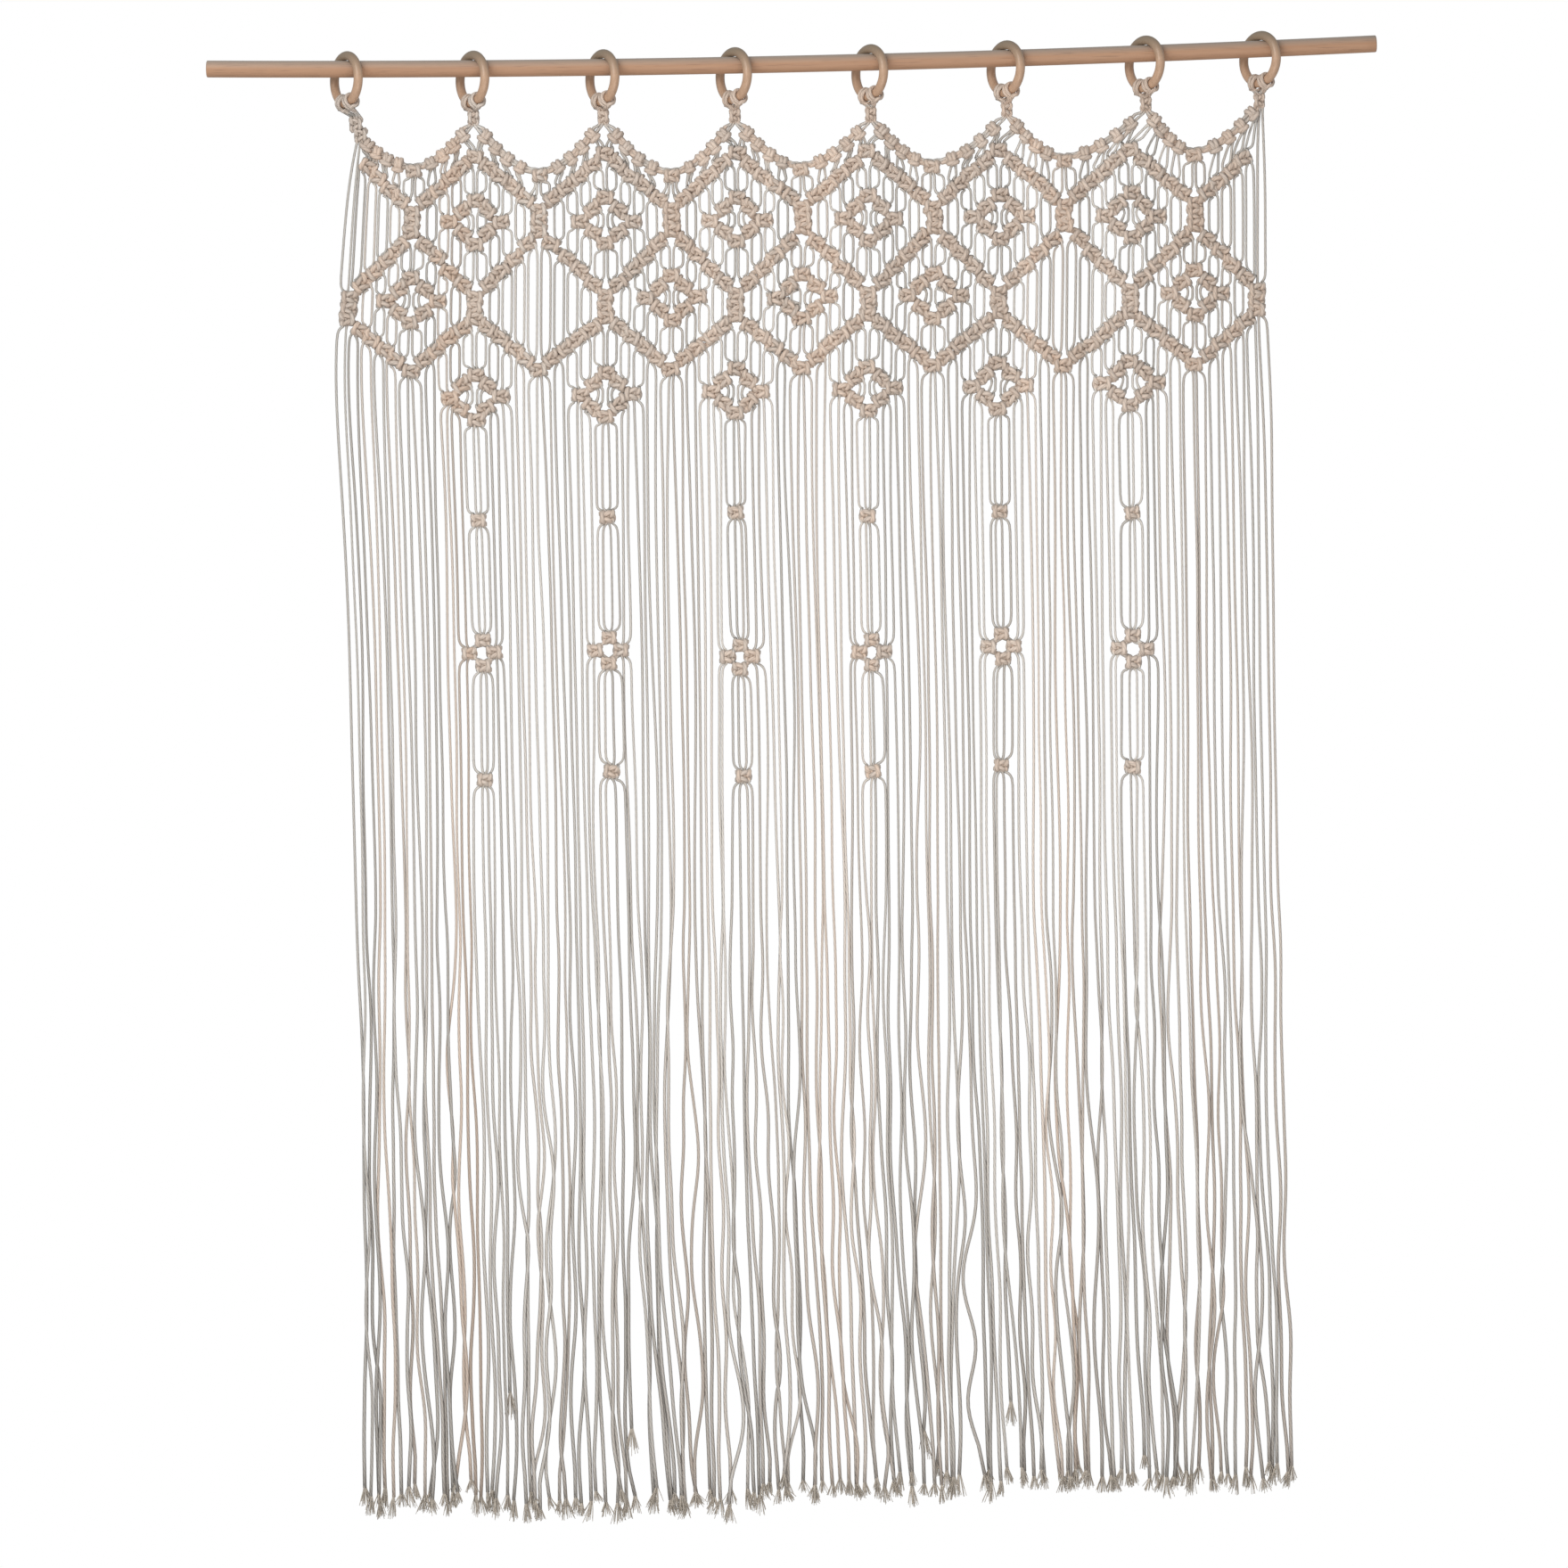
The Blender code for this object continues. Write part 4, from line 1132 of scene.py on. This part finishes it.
print(f"half way out, a carrier hangs {0.5**ARC_POWER:.2f} of the way up from the valley")

# %% [markdown]
# Eight folded cords are looped on each scallop with lark's heads, four to each half. A soft
# cord swells where it is bent hard. So every head and knot also leaves a note on its cords:
# a box in which the cord will be drawn thicker.

# %% Heads on the carriers
HEAD_SHARES = (0.21, 0.41, 0.61, 0.80)  # along each half of a scallop, from ring to valley
OUTER_SHARES = (0.12, 0.33, 0.55, 0.77)  # on the halves that hang from the outermost rings
HEAD_FOLLOWS = 0.85  # how much of the carrier's slope a head takes on
HEAD_SPREAD = 0.08
AHEAD = 0.002  # how far along the carrier its direction is read
CARRIER_HEAD_SIZE = (1.0, 1.1, 1.05)
HEAD_WORK = ((0.0092, 0.03, 0.0092), 1.75)  # half the box's sides, and the thickness in it
worked = [[] for _ in range(CORDS)]
folded = []  # the left cord, the right cord and the loop between them


def place_on(arc, distance):
    at = measure_along(arc)
    return np.array([np.interp(distance, at, arc[:, i]) for i in range(3)])


def loop_heads(arc, side, first, carriers, shares):
    """Loops four folded cords on one half of a scallop; first is the scallop's first cord."""
    whole = measure_along(arc)[-1]
    for number, head_share in enumerate(shares):
        here, ahead = place_on(arc, head_share * whole), place_on(arc, head_share * whole + AHEAD)
        way = (ahead - here) * side
        axes = turned(-math.atan2(way[2], way[0]) * HEAD_FOLLOWS + rng.normal(0, HEAD_SPREAD))
        size = np.array(CARRIER_HEAD_SIZE) * rng.normal(1.0, HEAD_SPREAD, 3)
        left = first + 2 * number if side > 0 else first + CORDS_PER_SCALLOP - 2 - 2 * number
        folded.append((left, left + 1, put(carrier_head * size, here, axes)))
        for cord in (left, left + 1, *carriers):
            worked[cord].append((here, axes, *HEAD_WORK))


print("an inner scallop has", 2 * len(HEAD_SHARES), "heads, each", HEAD_WORK[1], "times as thick as its cord")

# %% [markdown]
# Now the top edge can be put together, ring by ring: two folded cords, the gathering knot
# that holds them, and the carriers and heads to its left and right. Beyond the outermost
# rings there is no scallop, so the cords there hang straight down from the knot.

# %% The whole top edge
UPRIGHT = turned(0.0)
RING_HEAD_WORK = ((0.016, 0.03, 0.013), 1.28)
GATHER_WORK = ((0.012, 0.03, 0.009), 1.30)
tops = {}  # by cord: what follows its loop on the ring, before its first knot or free run

for number, ring in enumerate(rings):
    gather = gather_knots(ring, number == 0)
    for side, strands in ((-1, (0, 1)), (1, (2, 3))):
        scallop = number if side > 0 else number - 1
        first = scallop * CORDS_PER_SCALLOP + EDGE_CORDS
        if 0 <= scallop < SCALLOPS:
            pair = (first + HALF - 2, first + HALF - 1) if side > 0 else (first + HALF, first + HALF + 1)
            arc = arc_of(scallop, side, gather)
            tops.update({cord: carrier(arc, side, strand, gather) for cord, strand in zip(pair, strands)})
            outer = (number, side) in ((0, 1), (SCALLOPS, -1))
            loop_heads(arc, side, first, pair, OUTER_SHARES if outer else HEAD_SHARES)
        else:
            pair = (0, 1) if side < 0 else (CORDS - 2, CORDS - 1)
            for cord, strand in zip(pair, strands):
                tops[cord] = joined([strand_in(knot, strand) for knot in gather])
        loop = head_on_ring(ring, side)
        folded.append((*pair, loop))
        for cord in pair:
            worked[cord].append((loop.mean(axis=0), UPRIGHT, *RING_HEAD_WORK))
            worked[cord] += [(knot["place"], UPRIGHT, *GATHER_WORK) for knot in gather]
print(len(folded), "folded cords, so", 2 * len(folded), "ends")

# %% [markdown]
# ## From the top to the cut end
# The cut ends make a slightly curved lower edge. Each scallop's strings are cut to one
# length, give or take. Four strings were cut short, and one strand hangs longer.

# %% Cut ends
STRING_ENDS = (-1.857, -1.870, -1.866, -1.859, -1.852, -1.850, -1.852)
SHORT_STRINGS = {24: -1.731, 43: -1.781, 87: -1.792, 100: -1.757}
LONG_STRAND = {"near": -0.112, "end": -1.882}
END_SPREAD = 0.007

ends = np.repeat(STRING_ENDS, CORDS_PER_SCALLOP)
ends = np.concatenate([ends[:EDGE_CORDS], ends, ends[-EDGE_CORDS:]]) + rng.normal(0, END_SPREAD, CORDS)
for cord, z in SHORT_STRINGS.items():
    ends[cord] = z
ends[np.argmin(abs(across[:, -1] - LONG_STRAND["near"]))] = LONG_STRAND["end"]
print(f"the strings end between {ends.max():.3f} and {ends.min():.3f} m")

# %% [markdown]
# Every cord follows its knots from top to bottom, so each needs a list of the knots that it
# takes part in, the highest first.

# %% Knots on each cord
on_cord = [[] for _ in range(CORDS)]
for knot in sorted(knots, key=lambda k: -k["place"][2]):
    for cord in range(knot["first"], knot["first"] + 4):
        on_cord[cord].append(knot)
print("the busiest cord goes through", max(len(tied) for tied in on_cord), "knots")

# %% [markdown]
# Between two knots a cord drifts from the place where it leaves one to its own column in
# the table, and back again to enter the next. Cord under load straightens within a few
# millimetres of a knot, and the slack stretches at the top take longer. A fading curve
# says how much of the knot's place is left at each point.

# %% Free runs between knots
TOP_RELAX, NET_RELAX, LONG_RELAX = 0.045, 0.0022, 0.0042  # where a cord forgets the knot it left
LONG_SPAN = 0.12
NEAR_WORK = (0.0022, 0.0048, 0.009, 0.018)  # extra points beside a knot
CLEAR = NEAR_WORK[-1] + LEVEL_STEP / 2  # the table's own levels keep this far from a knot
MIDDLE_CLEAR = LEVEL_STEP / 8


def fading(along, length, relax):
    """Falls from one to nothing over a length, the faster the shorter the relax length is."""
    rest = math.exp(-length / relax)
    return (np.exp(-along / relax) - rest) / (1 - rest)


def free_run(cord, leave, arrive, from_top):
    """Places down a string between two points, or to its end where nothing arrives."""
    top, bottom = leave[2], ends[cord] if arrive is None else arrive[2]
    length = top - bottom
    relax = LONG_RELAX if length > LONG_SPAN else NET_RELAX
    beside = [top - d for d in NEAR_WORK] + ([] if arrive is None else [bottom + d for d in NEAR_WORK])
    beside = [z for z in beside if min(top - z, z - bottom) < length / 2 - MIDDLE_CLEAR]
    between = [z for z in levels if bottom + CLEAR < z < top - CLEAR]
    heights = sorted({*beside, *between, *([bottom] if arrive is None else [])}, reverse=True)
    points = np.array([hang(cord, z) for z in heights])
    down = top - points[:, 2]
    from_knot = fading(down, length, TOP_RELAX if from_top else relax)
    points[:, :2] += np.outer(from_knot, (leave - hang(cord, top))[:2])
    if arrive is not None:
        to_knot = fading(length - down, length, relax)
        points[:, :2] += np.outer(to_knot, (arrive - hang(cord, bottom))[:2])
    return points


print(f"a centimetre from a knot, {100 * fading(0.01, 0.1, NET_RELAX):.0f} % of its pull is left")

# %% [markdown]
# A cord's route is its top stretch, then free runs and knots by turns, and a last free run
# to the cut end. Where two knots sit right on top of each other there is no room for a free
# run, so the stretches are joined directly.

# %% Routes of the cords
SHORT_SPAN = 0.016  # two knots closer than this are joined directly
TOUCHING = 0.003  # and closer than this they lie on each other, so their ends are left out


def route(cord, top):
    """A cord from the end of its top stretch to its cut end."""
    stretches = [top]
    for knot in on_cord[cord]:
        inside = strand_in(knot, cord)
        leave, arrive = stretches[-1][-1], inside[0]
        span = leave[2] - arrive[2]
        if span > SHORT_SPAN:
            stretches.append(free_run(cord, leave, arrive, len(stretches) == 1))
        elif span < TOUCHING and len(stretches) > 1:
            stretches[-1], inside = stretches[-1][:-1], inside[1:]
        stretches.append(inside)
    stretches.append(free_run(cord, stretches[-1][-1], None, len(stretches) == 1))
    return joined(stretches)


leftmost = measure_along(route(0, tops[0]))[-1]
print(f"the leftmost cord runs {leftmost:.2f} m from its gathering knot to its cut end")

# %% [markdown]
# Both ends of a folded cord and the loop between them are one piece of cord, so they become
# one tube. Its width changes: load draws it thin at the top, work swells it, and it is
# loose at its end. Its tone is warm in the work and grey where it hangs free.

# %% Width, tone and shade of a cord
HANGING_LEVELS, HANGING_WIDTHS = (0.1, 0.4, 1.0, 1.85), (0.88, 0.84, 0.83, 1.22)
PAINTED_FALLOFF_LEVELS, PAINTED_FALLOFF = (0.4, 0.5, 1.0, 1.45, 1.85), (0.96, 1.0, 1.02, 0.95, 0.83)  # painted shade: darkest at the foot, for the way the light falls off lower down
# KNOT_TONE is painted light: the warm light that cords packed in a knot throw on each other
STRING_TONE, KNOT_TONE, TONE_SPREAD = 0.07, 0.66, 0.27
SHADE_SPREAD, DARKEST, LIGHTEST = 0.11, 0.75, 1.2
SPREAD_LEVELS, SPREAD_SHARES = (0.4, 1.2), (0.35, 1.0)  # free cords differ more in tone
KNOT_WORK = ((0.016, 0.03, 0.0070), 1.62)


def swollen(line, halves):
    """The cord's width along its line, and which of its points lie in a knot or a head."""
    width = np.interp(-line[:, 2], HANGING_LEVELS, HANGING_WIDTHS)
    knotted = np.zeros(len(line))
    for cord, half in halves:
        ties = [(knot["place"], turned(knot["turn"]), *KNOT_WORK) for knot in on_cord[cord]]
        for place, axes, reach, thick in worked[cord] + ties:
            inside = (abs((line[half] - place) @ np.transpose(axes)) < reach).all(axis=1)
            knotted[half][inside] = 1.0
            width[half][inside] = thick
    for _ in range(2):
        width[1:-1] = (width[:-2] + 2 * width[1:-1] + width[2:]) / 4
    return width, knotted


def coloured(drop, knotted):
    """Tone and shade along a cord, from each point's drop below the rod."""
    own_tone = rng.normal(0, TONE_SPREAD) * np.interp(drop, SPREAD_LEVELS, SPREAD_SHARES) + STRING_TONE
    own_shade = rng.normal(0, SHADE_SPREAD) * (1 - 0.5 * knotted) + 1.0
    # painted shade: the cords grow darker towards their foot, standing in for light that falls off lower down
    shade_along = np.clip(own_shade, DARKEST, LIGHTEST) * np.interp(drop, PAINTED_FALLOFF_LEVELS, PAINTED_FALLOFF)
    # knotted points get the painted warm light of KNOT_TONE
    return np.clip(own_tone + KNOT_TONE * knotted, 0, 1), shade_along


print(f"a cord is {CORD * 1000 * min(HANGING_WIDTHS):.1f} to {CORD * 1000 * HEAD_WORK[1]:.1f} mm thick")

# %% [markdown]
# One mesh for the whole curtain would be unwieldy, and 72 would be too many to handle. So
# each scallop and all that hangs from it is one batch, which becomes one piece.

# %% Draw the cords
columns = [new_batch() for _ in range(SCALLOPS)]


def column_of(cord):
    return min(SCALLOPS - 1, max(0, (cord - EDGE_CORDS) // CORDS_PER_SCALLOP))


for left, right, head in folded:
    bight = len(head) // 2
    runs = []
    for cord, tail in ((left, head[bight::-1]), (right, head[bight:])):
        runs.append(route(cord, joined([tail, tops[cord]]) if cord in tops else tail))
    line = np.vstack([runs[0][:0:-1], runs[1]])
    split = len(runs[0])
    width, knotted = swollen(line, ((left, slice(0, split)), (right, slice(split, None))))
    tone_along, shade_along = coloured(-line[:, 2], knotted)
    add_tube(columns[column_of(left)], line, CORD / 2 * width, tone_along, shade_along)
print(f"{sum(batch['length'] for batch in columns):.0f} m of cord in the whole curtain")

# %% [markdown]
# ## Frayed ends
# The cut ends are not bound, so each one opens into a small tuft. Hair particles would be
# lost on export, so some twenty thin strands are drawn as three-sided tubes that start
# inside the cord, bend outwards and grow thinner. The short strings have fluffier tufts.

# %% Frayed ends
PLAIN_TUFT, FLUFFY_TUFT = (0.016, 0.030), (0.030, 0.040)  # shortest and longest
TUFT_FLARE = (1.2, 3.0)  # in cord widths
TUFT_BEND, STRAND_SWAY = (0.0022, 0.0012), (0.0010, 0.0007)  # sideways, and front to back
FEWEST_STRANDS, TOO_MANY_STRANDS = 18, 23
STRAND_RADIUS, STRAND_TIP = 0.00080, 0.6  # at its tip a strand keeps this share of its radius
STRAND_START = 0.005  # up inside the cord
frayed = [new_batch() for _ in range(SCALLOPS)]


def strand_path(foot, way, flare, sway, length):
    """A strand from inside the cord, past the cut and half way down, to its tip."""
    start = foot + way * 0.30 + (0, 0, STRAND_START)
    cut = foot + way * 0.50
    half_way = foot + way * (0.55 + 0.35 * flare) + sway * 0.4 - (0, 0, length * 0.5)
    tip = foot + way * (0.5 + 0.75 * flare) + sway - (0, 0, length)
    return smooth_path(np.array([start, cut, half_way, tip]), length / 4)


for cord in range(CORDS):
    foot = hang(cord, ends[cord])
    tuft = rng.uniform(*(FLUFFY_TUFT if cord in SHORT_STRINGS else PLAIN_TUFT))
    flare = rng.uniform(*TUFT_FLARE)
    bend = np.array((*(rng.normal(0, spread) for spread in TUFT_BEND), 0.0))
    for _ in range(int(rng.integers(FEWEST_STRANDS, TOO_MANY_STRANDS))):
        angle, out = rng.uniform(0, 2 * math.pi), math.sqrt(rng.random())
        way = np.array((math.cos(angle), math.sin(angle), 0.0)) * out * CORD
        length = tuft * rng.uniform(0.6, 1.0)
        sway = bend + (*(rng.normal(0, spread) for spread in STRAND_SWAY), 0.0)
        path = strand_path(foot, way, flare, sway, length)
        thinning = np.linspace(1.0, STRAND_TIP, len(path)) * STRAND_RADIUS
        add_tube(frayed[column_of(cord)], path, thinning, sides=3)
print(f"{sum(batch['length'] for batch in frayed):.0f} m of frayed strands")

# %% [markdown]
# ## The rod
# The rod sags a little in the middle under the curtain's weight, and its sharp ends are
# eased with sandpaper. It is a tube like the cords, with two narrower rings of points at
# each end for the easing. Its rise comes from its box, which is taller than the rod is thick.

# %% Rod
ROD_RADIUS, ROD_SIDES, ROD_STATIONS = 0.011, 32, 92
ROD_EASE, SECOND_EASE = 0.0012, 0.3  # the second ring of points loses this share of it
EASE_AT, PLAIN_FROM = 0.0006, 0.0016  # in shares of half the rod, from its end

rod_low, rod_high = box("rod")
rod_half = (rod_high.x - rod_low.x) / 2
rod_rise = rod_high.z - rod_low.z - 2 * ROD_RADIUS
rod_plain = np.linspace(-1.0 + PLAIN_FROM, 1.0 - PLAIN_FROM, ROD_STATIONS)
rod_x = np.concatenate([[-1.0, -1.0 + EASE_AT], rod_plain, [1.0 - EASE_AT, 1.0]])
rod_line = np.stack([rod_x * rod_half, np.zeros(len(rod_x)), rod_rise * rod_x**2], axis=1)
rod_radius = np.full(len(rod_x), ROD_RADIUS)
rod_radius[[0, -1]] -= ROD_EASE
rod_radius[[1, -2]] -= ROD_EASE * SECOND_EASE
rod_batch = new_batch()
add_tube(rod_batch, rod_line, rod_radius, sides=ROD_SIDES)
rod_piece = make_piece("turned_rod", rod_batch, rod_wood)
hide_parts("rod")

# %% [markdown]
# ## The rings
# A turned wooden ring is exactly Blender's torus, so nothing else is needed. It is made
# lying flat, set upright, and swung round and moved to the place that was read from its box.

# %% Rings
RING_SEGMENTS, TUBE_SEGMENTS = 64, 24

upright = Matrix.Rotation(math.pi / 2, 4, "Y")
for number, ring in enumerate(rings, start=1):
    bpy.ops.mesh.primitive_torus_add(
        major_radius=ring["reach"],
        minor_radius=RING_TUBE,
        major_segments=RING_SEGMENTS,
        minor_segments=TUBE_SEGMENTS,
    )
    piece = bpy.context.object
    piece.name = f"turned_ring_{number}"
    swing = Matrix.Rotation(ring["turn"], 4, "Z")
    piece.matrix_world = Matrix.Translation(ring["centre"]) @ swing @ upright
    piece.data.shade_smooth()
    piece.data.materials.append(ring_wood)
    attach(piece, "root")
    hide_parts(f"ring_{number}")
    print(f"{piece.name}: {2 * len(piece.data.polygons)} triangles")

# %% [markdown]
# ## The curtain
# The cords replace the simple solids of the imported model, which physics keeps.

# %% Curtain
SHARED_NODES = ("net_course_1", "net_course_2", "string_comb")

diamonds = [name for name in frame["nodes"] if name.startswith("diamond")]
for number in range(SCALLOPS):
    piece = make_piece(f"curtain_{number + 1}", columns[number], cotton)
    tufts = make_piece(f"frayed_ends_{number + 1}", frayed[number], fluff)
    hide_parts(f"scallop_{number + 1}", f"ring_knot_{number + 1}", f"ring_knot_{number + 2}")
    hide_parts(*SHARED_NODES, *diamonds)
